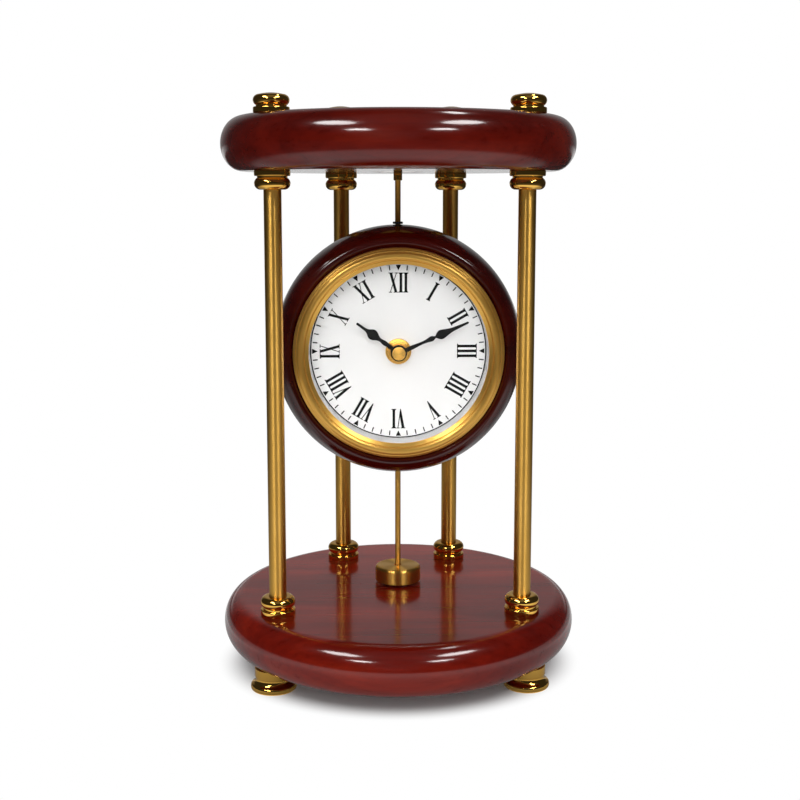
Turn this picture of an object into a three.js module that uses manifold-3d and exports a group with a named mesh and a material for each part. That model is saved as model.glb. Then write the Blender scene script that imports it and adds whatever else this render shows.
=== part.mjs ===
// Table clock: a round clock head hangs as a pendulum between two round boards on four columns.
// Millimetres, +Z up, the dial faces -Y, origin under the middle of the base board on the table.
import * as THREE from 'three';
import { mergeVertices } from 'three/addons/utils/BufferGeometryUtils.js';
import Module from 'manifold-3d';

const wasm = await Module();
wasm.setup();

// Fits shared by all pieces
const CLEARANCE = 0.3;
const EDGE_EASE = 0.6;
const WELD_DISTANCE = 1e-4;

// How finely round shapes are cut
const BOARD_SEGMENTS = 48;
const HEAD_SEGMENTS = 40;
const ROUND_SEGMENTS = 20;
const TURNED_SEGMENTS = 16;
const FINE_SEGMENTS = 6;
const BULLNOSE_STEPS = 6;
const NOSE_STEPS = 6;
const BEAD_STEPS = 4;
const EDGE_STEPS = 3;

// Boards
const BASE_RADIUS = 93.8;
const BASE_THICKNESS = 26.2;
const TOP_SETBACK = 2.3;
const TOP_THICKNESS = 27.6;
const BULLNOSE_DEPTH = 11;

// Columns and tie rods: each column stands in from the edge of the top board, turned from left and right
const COLUMN_SPAN = 224.2;
const FRONT_COLUMN_INSET = 18.1;
const FRONT_COLUMN_TURN = Math.PI * 0.1757;
const REAR_COLUMN_INSET = 26.25;
const REAR_COLUMN_TURN = Math.PI * 0.3424;
const COLUMN_DIAMETER = 8.8;
const TIE_ROD_DIAMETER = 5;

// Turned collars and finial nuts: a flange on the board, a neck and a bead
const FLANGE_DIAMETER = 17.8;
const FLANGE_HEIGHT = 2.8;
const NECK_DIAMETER = 15;
const NECK_HEIGHT = 0.4;
const BEAD_DIAMETER = 17.8;
const BEAD_HEIGHT = 6.2;
const COLLAR_FLOOR = 2;
const FINIAL_BEAD_HEIGHT = 5.6;
const FINIAL_CROWN = 0.8;
const FINIAL_ROOF = 3.2;

// Turned feet: a rim on the table, a cove and a drum under the base, each set in from the edge of the base
const FRONT_FOOT_INSET = 16.1;
const FRONT_FOOT_TURN = Math.PI * 0.1862;
const REAR_FOOT_INSET = 25.8;
const REAR_FOOT_TURN = Math.PI * 0.3451;
const FOOT_RIM_DIAMETER = 23.6;
const FOOT_RIM_HEIGHT = 3.2;
const FOOT_COVE_HEIGHT = 3.4;
const FOOT_COVE_START = -Math.PI * 3 / 5;
const FOOT_DRUM_DIAMETER = 19.4;
const FOOT_DRUM_HEIGHT = 5.2;
const FOOT_STUD_LENGTH = 9;
const BASE_CORE = 4.2;

// Suspension under the top board
const PENDULUM_Y = 12.1;
const SWING_LIMIT = Math.PI / 18;
const PIVOT_RISE = 6;
const PIVOT_PIN_DIAMETER = 2;
const EYE_WALL = 1.7;
const EYE_THICKNESS = 3;
const SLEEVE_WALL = 0.5;
const SLEEVE_HEIGHT = 3.4;
const SLEEVE_DROP = 4.4;
const SLEEVE_ROOF = 0.4;
const CLEVIS_DIAMETER = 13.4;
const CLEVIS_ROOF = 4.4;
const CLEVIS_FLANGE_THICKNESS = 2.4;
const CLEVIS_FLANGE_MARGIN = 0.9;
const SCREW_DIAMETER = 2.4;
const SCREW_HEAD_DIAMETER = 4.6;
const SCREW_LENGTH = 13;

// Pendulum rods and bob
const ROD_DIAMETER = 3;
const ROD_SOCKET_DEPTH = 8;
const ROD_WASHER_WIDTH = 0.9;
const ROD_WASHER_HEIGHT = 1.2;
const BOB_DIAMETER = 24.8;
const BOB_HEIGHT = 8.4;
const BOB_ROUND = 1.4;
const BOB_FLOOR = 2.9;
const BOB_GROUND_CLEARANCE = 1.2;

// Clock head: wooden case, bezel, glass, dial
const HEAD_DROP = 94.2;
const HEAD_RIM_WIDTH = 15.1;
const HEAD_THICKNESS = 42;
const HEAD_NOSE = 10.4;
const DIAL_BORE_RADIUS = 51.5;
const DIAL_RECESS_DEPTH = 10.9;
const WEB_THICKNESS = 5;
const POCKET_MARGIN = 2.8;
const BEZEL_SEAT_STEP = 0.5;
const BEZEL_SEAT_MARGIN = 0.7;
const BEZEL_FLANGE_WIDTH = 3.8;
const BEZEL_FLANGE_THICKNESS = 2.1;
const BEZEL_LIP_REACH = 5.4;
const BEZEL_LIP = 0.8;
const BEZEL_CONE_DEPTH = 1.2;
const BEZEL_CONE_WIDTH = 2.9;
const BEZEL_RIDGE_START = -Math.PI * 5 / 6;
const BEZEL_SKIRT_WALL = 0.6;
const BEZEL_SKIRT_DEPTH = 4.5;
const GLASS_THICKNESS = 2;
const GLASS_TO_CAP = 0.5;
const DIAL_THICKNESS = 0.8;
const DIAL_RING_WIDTH = 4;

// Hands and what holds them
const MINUTE_ARBOR_DIAMETER = 2.8;
const HOUR_TUBE_WALL = 0.9;
const BUSH_WALL = 1;
const BUSH_PROUD = 4.4;
const DIAL_NUT_HEIGHT = 2.6;
const DIAL_NUT_WIDTH = 2.65;
const DIAL_NUT_COLLAR_WIDTH = 1.1;
const HAND_THICKNESS = 0.5;
const HAND_SPACING = 1.6;
const HUB_WIDTH = 1.4;
const HOUR_HAND_LENGTH = 27.2;
const HOUR_HAND_WIDTH = 5.3;
const MINUTE_HAND_LENGTH = 40.2;
const MINUTE_HAND_WIDTH = 4.8;
const HAND_CAP_WALL = 1.8;
const HAND_CAP_HEIGHT = 1.5;
const MINUTES_SHOWN = 11;
const HOURS_SHOWN = 10;

// Quartz movement
const MOVEMENT_WALL = 1.4;
const COVER_THICKNESS = 1.7;
const DIVIDER_GAP = 1;
const DIVIDER_THICKNESS = 1.2;
const BATTERY_DIAMETER = 14.2;
const BATTERY_LENGTH = 49.2;
const BATTERY_NUB_DIAMETER = 5.4;
const BATTERY_NUB_LENGTH = 1.2;
const CONTACT_THICKNESS = 0.5;
const CONTACT_WIDTH = 10;
const POST_DIAMETER = 1;
const KNOB_DIAMETER = 12;
const KNOB_HEIGHT = 4.2;
const KNOB_FLUTES = 12;
const KNOB_FLUTE_DEPTH = 0.5;
const KNOB_ARBOR_DIAMETER = 2.6;
const ROTOR_DIAMETER = 6;
const ROTOR_RISE = 3.6;
const COIL_DIAMETER = 6.4;
const COIL_LENGTH = 14.4;
const CIRCUIT_BOARD_THICKNESS = 1.2;
const CIRCUIT_BOARD_GAP = 2.7;
const CIRCUIT_BOARD_MARGIN = 4;
const STATOR_THICKNESS = 1.6;

// Gear train: teeth, distances between arbors and where each arbor lies, as seen from the dial
const TOOTH_ADDENDUM = 0.7;
const TOOTH_DEDENDUM = 1;
const TOOTH_ROOT_HALF = 0.22;
const TOOTH_TIP_HALF = 0.07;
const WHEEL_THICKNESS = 1.2;
const MOTION_WORK_GAP = 0.9;
const CENTRE_WHEEL_GAP = 3;
const INTERMEDIATE_GAP = 1.2;
const COVER_GAP = 2.3;
const CANNON_TEETH = 8;
const MINUTE_WHEEL_TEETH = 24;
const MINUTE_PINION_TEETH = 6;
const HOUR_WHEEL_TEETH = 24;
const CENTRE_WHEEL_TEETH = 24;
const INTERMEDIATE_PINION_TEETH = 6;
const INTERMEDIATE_WHEEL_TEETH = 30;
const ROTOR_PINION_TEETH = 6;
const KNOB_PINION_TEETH = 8;
const MOTION_WORK_DISTANCE = 11;
const CENTRE_MESH_DISTANCE = 10.5;
const ROTOR_MESH_DISTANCE = 10.8;
const MINUTE_WHEEL_DIRECTION = Math.PI / 2;
const KNOB_DIRECTION = Math.PI * 5 / 6;
const INTERMEDIATE_DIRECTION = Math.PI * 5 / 36;
const ROTOR_DIRECTION = Math.PI * 11 / 36;

// Levels of the stand, from the table up
const FOOT_HEIGHT = FOOT_RIM_HEIGHT + FOOT_COVE_HEIGHT + FOOT_DRUM_HEIGHT;
const BASE_TOP = FOOT_HEIGHT + BASE_THICKNESS;
const TOP_BOTTOM = BASE_TOP + COLUMN_SPAN;
const TOP_TOP = TOP_BOTTOM + TOP_THICKNESS;
const PIVOT_Z = TOP_BOTTOM + PIVOT_RISE;
const HEAD_Z = TOP_BOTTOM - HEAD_DROP;
const COLLAR_HEIGHT = FLANGE_HEIGHT + NECK_HEIGHT + BEAD_HEIGHT;
const FINIAL_HEIGHT = FLANGE_HEIGHT + NECK_HEIGHT + FINIAL_BEAD_HEIGHT + FINIAL_CROWN;
const FINIAL_THREAD_DEPTH = FINIAL_HEIGHT - FINIAL_ROOF;
const BASE_THREAD_DEPTH = BASE_THICKNESS - FOOT_STUD_LENGTH - BASE_CORE;
const ROD_BORE = TIE_ROD_DIAMETER / 2 + CLEARANCE;
const COLUMN_BORE = COLUMN_DIAMETER / 2 + CLEARANCE;
const TOP_RADIUS = BASE_RADIUS - TOP_SETBACK;
const COLUMNS = fourPlaces(TOP_RADIUS - FRONT_COLUMN_INSET, FRONT_COLUMN_TURN,
  TOP_RADIUS - REAR_COLUMN_INSET, REAR_COLUMN_TURN);
const FEET = fourPlaces(BASE_RADIUS - FRONT_FOOT_INSET, FRONT_FOOT_TURN,
  BASE_RADIUS - REAR_FOOT_INSET, REAR_FOOT_TURN);

// Two places in front and two behind, by their distances from the middle and their turns from left and right
function fourPlaces(frontRadius, frontTurn, rearRadius, rearTurn) {
  const frontX = frontRadius * Math.cos(frontTurn);
  const frontY = -frontRadius * Math.sin(frontTurn);
  const rearX = rearRadius * Math.cos(rearTurn);
  const rearY = rearRadius * Math.sin(rearTurn);
  return [
    { name: 'front_left', x: -frontX, y: frontY },
    { name: 'front_right', x: frontX, y: frontY },
    { name: 'rear_left', x: -rearX, y: rearY },
    { name: 'rear_right', x: rearX, y: rearY },
  ];
}

// Suspension sizes that follow from the pin, the rod and the swing
const EYE_RADIUS = PIVOT_PIN_DIAMETER / 2 + CLEARANCE + EYE_WALL;
const ROD_HOLE_RADIUS = ROD_DIAMETER / 2 + CLEARANCE;
const SLEEVE_RADIUS = ROD_HOLE_RADIUS + SLEEVE_WALL;
const SLOT_HALF = SLEEVE_RADIUS + PIVOT_RISE * Math.sin(SWING_LIMIT) + CLEARANCE;
const SLOT_TOP = PIVOT_RISE + EYE_RADIUS + 2 * CLEARANCE;
const CLEVIS_HEIGHT = SLOT_TOP + CLEVIS_ROOF;
const SCREW_X = (CLEVIS_DIAMETER + SCREW_HEAD_DIAMETER) / 2 + CLEVIS_FLANGE_MARGIN;
const CLEVIS_FLANGE_RADIUS = SCREW_X + SCREW_HEAD_DIAMETER / 2 + CLEVIS_FLANGE_MARGIN;
const SCREW_HEAD_HEIGHT = (SCREW_HEAD_DIAMETER - SCREW_DIAMETER) / 2;

// Round sizes on the dial's axis
const ARBOR_RADIUS = MINUTE_ARBOR_DIAMETER / 2;
const ARBOR_BORE = ARBOR_RADIUS + CLEARANCE;
const HOUR_TUBE_RADIUS = ARBOR_BORE + HOUR_TUBE_WALL;
const BUSH_BORE_RADIUS = HOUR_TUBE_RADIUS + CLEARANCE;
const BUSH_RADIUS = BUSH_BORE_RADIUS + BUSH_WALL;
const BUSH_HOLE_RADIUS = BUSH_RADIUS + CLEARANCE;
const HUB_RADIUS = HOUR_TUBE_RADIUS + CLEARANCE + HUB_WIDTH;
const HEAD_RADIUS = DIAL_BORE_RADIUS + HEAD_RIM_WIDTH;
const BEZEL_RADIUS = DIAL_BORE_RADIUS + BEZEL_FLANGE_WIDTH;
const BEZEL_OPENING_RADIUS = DIAL_BORE_RADIUS - BEZEL_LIP_REACH;
const BEZEL_SKIRT_RADIUS = DIAL_BORE_RADIUS - CLEARANCE;
const GLASS_RADIUS = BEZEL_SKIRT_RADIUS - BEZEL_SKIRT_WALL - CLEARANCE;
const DIAL_RING_OPENING_RADIUS = GLASS_RADIUS - DIAL_RING_WIDTH;

// Depths of the head, along Y from its middle plane: the front is negative
const HEAD_FRONT = -HEAD_THICKNESS / 2;
const HEAD_REAR = HEAD_THICKNESS / 2;
const BEZEL_SEAT = HEAD_FRONT + BEZEL_SEAT_STEP;
const WEB_FRONT = BEZEL_SEAT + DIAL_RECESS_DEPTH;
const WEB_REAR = WEB_FRONT + WEB_THICKNESS;
const DIAL_REAR = WEB_FRONT - CLEARANCE;
const DIAL_FRONT = DIAL_REAR - DIAL_THICKNESS;
const NUT_REAR = DIAL_FRONT - CLEARANCE;
const NUT_FRONT = NUT_REAR - DIAL_NUT_HEIGHT;
const BUSH_FRONT = NUT_FRONT - BUSH_PROUD;
const HOUR_HAND_REAR = BUSH_FRONT - CLEARANCE;
const HOUR_HAND_FRONT = HOUR_HAND_REAR - HAND_THICKNESS;
const MINUTE_HAND_REAR = HOUR_HAND_REAR - HAND_SPACING;
const MINUTE_HAND_FRONT = MINUTE_HAND_REAR - HAND_THICKNESS;
const CAP_REAR = MINUTE_HAND_FRONT - CLEARANCE;
const CAP_FRONT = CAP_REAR - HAND_CAP_HEIGHT;
const ARBOR_FRONT = (CAP_REAR + CAP_FRONT) / 2;
const GLASS_REAR = CAP_FRONT - GLASS_TO_CAP;
const GLASS_FRONT = GLASS_REAR - GLASS_THICKNESS;
const BEZEL_LIP_REAR = GLASS_FRONT - CLEARANCE;
const BEZEL_LIP_FRONT = BEZEL_LIP_REAR - BEZEL_LIP;
const BEZEL_CONE_FRONT = BEZEL_LIP_FRONT - BEZEL_CONE_DEPTH;
const BEZEL_FRONT = BEZEL_CONE_FRONT - EDGE_EASE;

// Depths of the movement
const CASE_FRONT = WEB_REAR + CLEARANCE;
const CASE_FLOOR = CASE_FRONT + MOVEMENT_WALL;
const HOUR_WHEEL_FRONT = CASE_FLOOR + CLEARANCE;
const HOUR_WHEEL_REAR = HOUR_WHEEL_FRONT + WHEEL_THICKNESS;
const MINUTE_WHEEL_FRONT = HOUR_WHEEL_REAR + MOTION_WORK_GAP;
const MINUTE_WHEEL_REAR = MINUTE_WHEEL_FRONT + WHEEL_THICKNESS;
const CENTRE_WHEEL_FRONT = MINUTE_WHEEL_REAR + CENTRE_WHEEL_GAP;
const CENTRE_WHEEL_REAR = CENTRE_WHEEL_FRONT + WHEEL_THICKNESS;
const INTERMEDIATE_WHEEL_FRONT = CENTRE_WHEEL_REAR + INTERMEDIATE_GAP;
const INTERMEDIATE_WHEEL_REAR = INTERMEDIATE_WHEEL_FRONT + WHEEL_THICKNESS;
const ROTOR_FRONT = CASE_FLOOR + ROTOR_RISE;
const ROTOR_REAR = INTERMEDIATE_WHEEL_FRONT - CLEARANCE;
const CASE_REAR = INTERMEDIATE_WHEEL_REAR + COVER_GAP;
const COVER_REAR = CASE_REAR + COVER_THICKNESS;

// Pitch radii: two meshed wheels share the distance between their arbors in the ratio of their teeth
const CANNON_PITCH = pitchRadius(CANNON_TEETH, MINUTE_WHEEL_TEETH, MOTION_WORK_DISTANCE);
const MINUTE_WHEEL_PITCH = MOTION_WORK_DISTANCE - CANNON_PITCH;
const HOUR_WHEEL_PITCH = pitchRadius(HOUR_WHEEL_TEETH, MINUTE_PINION_TEETH, MOTION_WORK_DISTANCE);
const MINUTE_PINION_PITCH = MOTION_WORK_DISTANCE - HOUR_WHEEL_PITCH;
const KNOB_PINION_PITCH = MINUTE_WHEEL_PITCH * KNOB_PINION_TEETH / MINUTE_WHEEL_TEETH;
const CENTRE_PITCH = pitchRadius(CENTRE_WHEEL_TEETH, INTERMEDIATE_PINION_TEETH, CENTRE_MESH_DISTANCE);
const INTERMEDIATE_PINION_PITCH = CENTRE_MESH_DISTANCE - CENTRE_PITCH;
const INTERMEDIATE_PITCH = pitchRadius(INTERMEDIATE_WHEEL_TEETH, ROTOR_PINION_TEETH, ROTOR_MESH_DISTANCE);
const ROTOR_PINION_PITCH = ROTOR_MESH_DISTANCE - INTERMEDIATE_PITCH;
const HOUR_WHEEL_TIP = tipRadius(HOUR_WHEEL_TEETH, HOUR_WHEEL_PITCH);
const CENTRE_WHEEL_TIP = tipRadius(CENTRE_WHEEL_TEETH, CENTRE_PITCH);

function pitchRadius(teeth, otherTeeth, distance) {
  return distance * teeth / (teeth + otherTeeth);
}

function tipRadius(teeth, pitch) {
  return pitch + TOOTH_ADDENDUM * pitch * 2 / teeth;
}

// Places of the arbors in the head's own plane
const CENTRE = { x: 0, z: 0 };
const MINUTE_WHEEL_PLACE = step(CENTRE, MOTION_WORK_DISTANCE, MINUTE_WHEEL_DIRECTION);
const KNOB_PLACE = step(MINUTE_WHEEL_PLACE, MINUTE_WHEEL_PITCH + KNOB_PINION_PITCH, KNOB_DIRECTION);
const INTERMEDIATE_PLACE = step(CENTRE, CENTRE_MESH_DISTANCE, INTERMEDIATE_DIRECTION);
const ROTOR_PLACE = step(INTERMEDIATE_PLACE, ROTOR_MESH_DISTANCE, ROTOR_DIRECTION);

function step(from, distance, direction) {
  return { x: from.x + distance * Math.cos(direction), z: from.z + distance * Math.sin(direction) };
}

// Movement case: a gear bay above a battery bay, sized by the cell and the wheels
const CONTACT_SPACE = CONTACT_THICKNESS + 2 * CLEARANCE;
const BAY_HALF = (BATTERY_LENGTH + BATTERY_NUB_LENGTH) / 2 + CONTACT_SPACE;
const CASE_HALF = BAY_HALF + MOVEMENT_WALL;
const DIVIDER_TOP = -Math.max(HOUR_WHEEL_TIP, CENTRE_WHEEL_TIP) - DIVIDER_GAP;
const BATTERY_BAY_TOP = DIVIDER_TOP - DIVIDER_THICKNESS;
const BATTERY_BAY_BOTTOM = BATTERY_BAY_TOP - BATTERY_DIAMETER - 2 * CLEARANCE;
const CASE_BOTTOM = BATTERY_BAY_BOTTOM - MOVEMENT_WALL;
const POCKET_RADIUS = Math.hypot(CASE_HALF, Math.max(CASE_HALF, -CASE_BOTTOM)) + POCKET_MARGIN;

// Solids
function closed(geometry) {
  const bare = new THREE.BufferGeometry();
  bare.setAttribute('position', geometry.getAttribute('position'));
  bare.setIndex(geometry.getIndex());
  const merged = mergeVertices(bare, WELD_DISTANCE);
  const position = merged.getAttribute('position');
  const index = merged.getIndex().array;
  const corner = [new THREE.Vector3(), new THREE.Vector3(), new THREE.Vector3()];
  const triangles = [];
  let volume = 0;
  for (let i = 0; i < index.length; i += 3) {
    const triangle = [index[i], index[i + 1], index[i + 2]];
    if (new Set(triangle).size === triangle.length) {
      triangles.push(triangle);
      corner.forEach((point, k) => point.fromBufferAttribute(position, triangle[k]));
      volume += corner[0].dot(corner[1].cross(corner[2]));
    }
  }
  const facing = volume > 0 ? triangles : triangles.map((triangle) => triangle.reverse());
  const vertProperties = new Float32Array(position.array);
  const triVerts = new Uint32Array(facing.flat());
  return new wasm.Manifold(new wasm.Mesh({ numProp: 3, vertProperties, triVerts }));
}

function toGeometry(solid) {
  const mesh = solid.getMesh();
  const geometry = new THREE.BufferGeometry();
  geometry.setAttribute('position', new THREE.BufferAttribute(mesh.vertProperties, 3));
  geometry.setIndex(new THREE.BufferAttribute(mesh.triVerts, 1));
  geometry.computeVertexNormals();
  return geometry;
}

function latheOf(outline, segments) {
  return new THREE.LatheGeometry(outline.map(([r, h]) => new THREE.Vector2(r, h)), segments);
}

// A turned piece about the vertical axis: the outline is a list of [radius, height]
function turned(outline, segments = TURNED_SEGMENTS) {
  return closed(latheOf(outline, segments).rotateX(Math.PI / 2));
}

// A turned piece about the dial's axis: the outline is a list of [radius, depth]
function turnedAlongDial(outline, segments = HEAD_SEGMENTS) {
  return closed(latheOf(outline, segments));
}

function cylinderUp(radius, bottom, top, x = 0, y = 0) {
  const geometry = new THREE.CylinderGeometry(radius, radius, top - bottom, TURNED_SEGMENTS);
  return closed(geometry.rotateX(Math.PI / 2).translate(x, y, (top + bottom) / 2));
}

function cylinderAlongDial(radius, front, rear, place = CENTRE, segments = TURNED_SEGMENTS) {
  const geometry = new THREE.CylinderGeometry(radius, radius, rear - front, segments);
  return closed(geometry.translate(place.x, (front + rear) / 2, place.z));
}

function box(x0, x1, y0, y1, z0, z1) {
  const geometry = new THREE.BoxGeometry(x1 - x0, y1 - y0, z1 - z0);
  return closed(geometry.translate((x0 + x1) / 2, (y0 + y1) / 2, (z0 + z1) / 2));
}

// A flat plate whose outline lies in the dial's plane, turned clockwise as seen from the front
function plate(shape, front, rear, angle = 0) {
  const depth = rear - front;
  const options = { depth, bevelEnabled: false, curveSegments: FINE_SEGMENTS };
  const geometry = new THREE.ExtrudeGeometry(shape, options);
  return closed(geometry.rotateX(Math.PI / 2).rotateY(angle).translate(0, rear, 0));
}

// Points of a round edge: part of an ellipse about [centreR, centreH]
function arc(centreR, centreH, radiusR, radiusH, from, to, steps) {
  const points = [];
  for (let i = 0; i <= steps; i += 1) {
    const angle = from + (to - from) * i / steps;
    points.push([centreR + radiusR * Math.cos(angle), centreH + radiusH * Math.sin(angle)]);
  }
  return points;
}

function loop(outline) {
  return [...outline, outline[0]];
}

// Finishes
const FINISHES = {
  wood: { color: 0x6b1a10, roughness: 0.18, metalness: 0 },
  brass: { color: 0xc08a2c, roughness: 0.12, metalness: 1 },
  steel: { color: 0x9a9a9c, roughness: 0.35, metalness: 1 },
  silver: { color: 0xc9c9cc, roughness: 0.3, metalness: 0.6 },
  glass: { color: 0xffffff, roughness: 0.02, metalness: 0, transparent: true, opacity: 0.12 },
  dial: { color: 0xf7f6f2, roughness: 0.6, metalness: 0 },
  black: { color: 0x1c1c1d, roughness: 0.5, metalness: 0 },
  nylon: { color: 0xe8e4d8, roughness: 0.5, metalness: 0 },
  copper: { color: 0xb0603a, roughness: 0.4, metalness: 1 },
  circuit: { color: 0x2d6a3c, roughness: 0.6, metalness: 0 },
  battery: { color: 0x30363c, roughness: 0.4, metalness: 0.2 },
};

function add(group, name, solid, finish) {
  const mesh = new THREE.Mesh(toGeometry(solid), new THREE.MeshStandardMaterial(FINISHES[finish]));
  mesh.name = name;
  group.add(mesh);
  return mesh;
}

// Boards with full round edges
function bullnoseBoard(radius, thickness) {
  const half = thickness / 2;
  const flat = radius - BULLNOSE_DEPTH;
  const edge = arc(flat, half, BULLNOSE_DEPTH, half, -Math.PI / 2, Math.PI / 2, BULLNOSE_STEPS);
  return turned([[0, 0], ...edge, [0, thickness]], BOARD_SEGMENTS);
}

// A board with one upright hole at each place
function withHoles(board, places, bottom, top) {
  return places.reduce((cut, { x, y }) => cut.subtract(cylinderUp(ROD_BORE, bottom, top, x, y)), board);
}

// Turned fittings
function flangeOutline() {
  const rim = FLANGE_DIAMETER / 2;
  return [[rim, 0], [rim, FLANGE_HEIGHT - EDGE_EASE], [rim - EDGE_EASE, FLANGE_HEIGHT]];
}

function beadOutline(height) {
  const half = height / 2;
  const neck = NECK_DIAMETER / 2;
  const round = Math.min(half, BEAD_DIAMETER / 2 - COLUMN_BORE - EDGE_EASE);
  const centre = BEAD_DIAMETER / 2 - round;
  const start = -Math.acos(Math.min(1, Math.max(0, (neck - centre) / round)));
  const middle = FLANGE_HEIGHT + NECK_HEIGHT + half;
  return [[neck, FLANGE_HEIGHT], ...arc(centre, middle, round, half, start, Math.PI / 2, BEAD_STEPS)];
}

function collar() {
  return turned(loop([
    [ROD_BORE, 0],
    ...flangeOutline(),
    ...beadOutline(BEAD_HEIGHT),
    [COLUMN_BORE, COLLAR_HEIGHT],
    [COLUMN_BORE, COLLAR_FLOOR],
    [ROD_BORE, COLLAR_FLOOR],
  ]));
}

function finial() {
  return turned([
    [0, FINIAL_THREAD_DEPTH],
    [ROD_BORE, FINIAL_THREAD_DEPTH],
    [ROD_BORE, 0],
    ...flangeOutline(),
    ...beadOutline(FINIAL_BEAD_HEIGHT),
    [0, FINIAL_HEIGHT],
  ]);
}

// A turned foot with a stud that screws into the underside of the base
function foot() {
  const rim = FOOT_RIM_DIAMETER / 2;
  const drum = FOOT_DRUM_DIAMETER / 2;
  const stud = TIE_ROD_DIAMETER / 2;
  const rimHalf = FOOT_RIM_HEIGHT / 2;
  const coveTop = FOOT_RIM_HEIGHT + FOOT_COVE_HEIGHT;
  const edge = arc(rim - rimHalf / 2, rimHalf, rimHalf / 2, rimHalf, -Math.PI / 2, Math.PI / 2, BEAD_STEPS);
  const hollow = rim - drum;
  const cove = arc(rim - EDGE_EASE, coveTop, hollow, FOOT_COVE_HEIGHT, FOOT_COVE_START, -Math.PI, EDGE_STEPS);
  return turned([
    [0, 0],
    ...edge,
    ...cove,
    [drum, coveTop],
    [drum, FOOT_HEIGHT],
    [stud, FOOT_HEIGHT],
    [stud, FOOT_HEIGHT + FOOT_STUD_LENGTH],
    [0, FOOT_HEIGHT + FOOT_STUD_LENGTH],
  ]);
}

function columnTube() {
  const outer = COLUMN_DIAMETER / 2;
  const bottom = BASE_TOP + COLLAR_FLOOR;
  const top = TOP_BOTTOM - COLLAR_FLOOR;
  return turned(loop([[ROD_BORE, bottom], [outer, bottom], [outer, top], [ROD_BORE, top]]));
}

function tieRod() {
  const bottom = BASE_TOP - BASE_THREAD_DEPTH + CLEARANCE;
  return cylinderUp(TIE_ROD_DIAMETER / 2, bottom, TOP_TOP + FINIAL_THREAD_DEPTH - CLEARANCE);
}

// Suspension: a flanged clevis let into the top board, a pin across it, and an eye that hangs on the pin
function screwSolid(gap) {
  const head = SCREW_HEAD_DIAMETER / 2 + gap;
  const shank = SCREW_DIAMETER / 2 + gap;
  return turned([
    [0, -gap],
    [head, -gap],
    [head, 0],
    [shank, SCREW_HEAD_HEIGHT],
    [shank, SCREW_LENGTH + gap],
    [0, SCREW_LENGTH + gap],
  ]);
}

function screwHoles() {
  const hole = screwSolid(CLEARANCE);
  return hole.translate([-SCREW_X, 0, 0]).add(hole.translate([SCREW_X, 0, 0]));
}

function clevisSolid(gap) {
  const body = CLEVIS_DIAMETER / 2 + gap;
  const flange = CLEVIS_FLANGE_RADIUS + gap;
  return turned([
    [0, -gap],
    [flange, -gap],
    [flange, CLEVIS_FLANGE_THICKNESS + gap],
    [body, CLEVIS_FLANGE_THICKNESS + gap],
    [body, CLEVIS_HEIGHT + gap],
    [0, CLEVIS_HEIGHT + gap],
  ], ROUND_SEGMENTS);
}

const PIVOT_PLACE = { x: 0, z: PIVOT_RISE };
const PIVOT_HOLE_RADIUS = PIVOT_PIN_DIAMETER / 2 + CLEARANCE;

function clevis() {
  const slotHalf = EYE_THICKNESS / 2 + CLEARANCE;
  const reach = CLEVIS_DIAMETER / 2 + CLEARANCE;
  return clevisSolid(0)
    .subtract(box(-SLOT_HALF, SLOT_HALF, -slotHalf, slotHalf, -CLEARANCE, SLOT_TOP))
    .subtract(cylinderAlongDial(PIVOT_HOLE_RADIUS, -reach, reach, PIVOT_PLACE))
    .subtract(screwHoles());
}

function suspensionEye() {
  const half = EYE_THICKNESS / 2;
  const sleeveTop = SLEEVE_HEIGHT - SLEEVE_DROP;
  return cylinderUp(SLEEVE_RADIUS, -SLEEVE_DROP, sleeveTop)
    .add(box(-SLEEVE_RADIUS, SLEEVE_RADIUS, -half, half, sleeveTop - SLEEVE_ROOF, PIVOT_RISE))
    .add(cylinderAlongDial(EYE_RADIUS, -half, half, PIVOT_PLACE))
    .subtract(cylinderAlongDial(PIVOT_HOLE_RADIUS, -EYE_THICKNESS, EYE_THICKNESS, PIVOT_PLACE))
    .subtract(cylinderUp(ROD_HOLE_RADIUS, -SLEEVE_DROP - CLEARANCE, sleeveTop - SLEEVE_ROOF));
}

const clock = new THREE.Group();
const stand = new THREE.Group();
clock.add(stand);

const drilledBase = withHoles(bullnoseBoard(BASE_RADIUS, BASE_THICKNESS), COLUMNS,
  BASE_THICKNESS - BASE_THREAD_DEPTH, BASE_THICKNESS + CLEARANCE);
const baseSolid = withHoles(drilledBase, FEET, -CLEARANCE, FOOT_STUD_LENGTH + CLEARANCE);
add(stand, 'base_board', baseSolid, 'wood').position.z = FOOT_HEIGHT;

const drilledTop = withHoles(bullnoseBoard(TOP_RADIUS, TOP_THICKNESS), COLUMNS,
  -CLEARANCE, TOP_THICKNESS + CLEARANCE);
const suspensionCut = clevisSolid(CLEARANCE).add(screwHoles()).translate([0, PENDULUM_Y, 0]);
add(stand, 'top_board', drilledTop.subtract(suspensionCut), 'wood').position.z = TOP_BOTTOM;

for (const { name, x, y } of FEET) {
  add(stand, `foot_${name}`, foot(), 'brass').position.set(x, y, 0);
}

for (const { name, x, y } of COLUMNS) {
  add(stand, `lower_collar_${name}`, collar(), 'brass').position.set(x, y, BASE_TOP);
  add(stand, `column_${name}`, columnTube(), 'brass').position.set(x, y, 0);
  const upperCollar = add(stand, `upper_collar_${name}`, collar(), 'brass');
  upperCollar.position.set(x, y, TOP_BOTTOM);
  upperCollar.rotation.x = Math.PI;
  add(stand, `finial_nut_${name}`, finial(), 'brass').position.set(x, y, TOP_TOP);
  add(stand, `tie_rod_${name}`, tieRod(), 'steel').position.set(x, y, 0);
}

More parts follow.
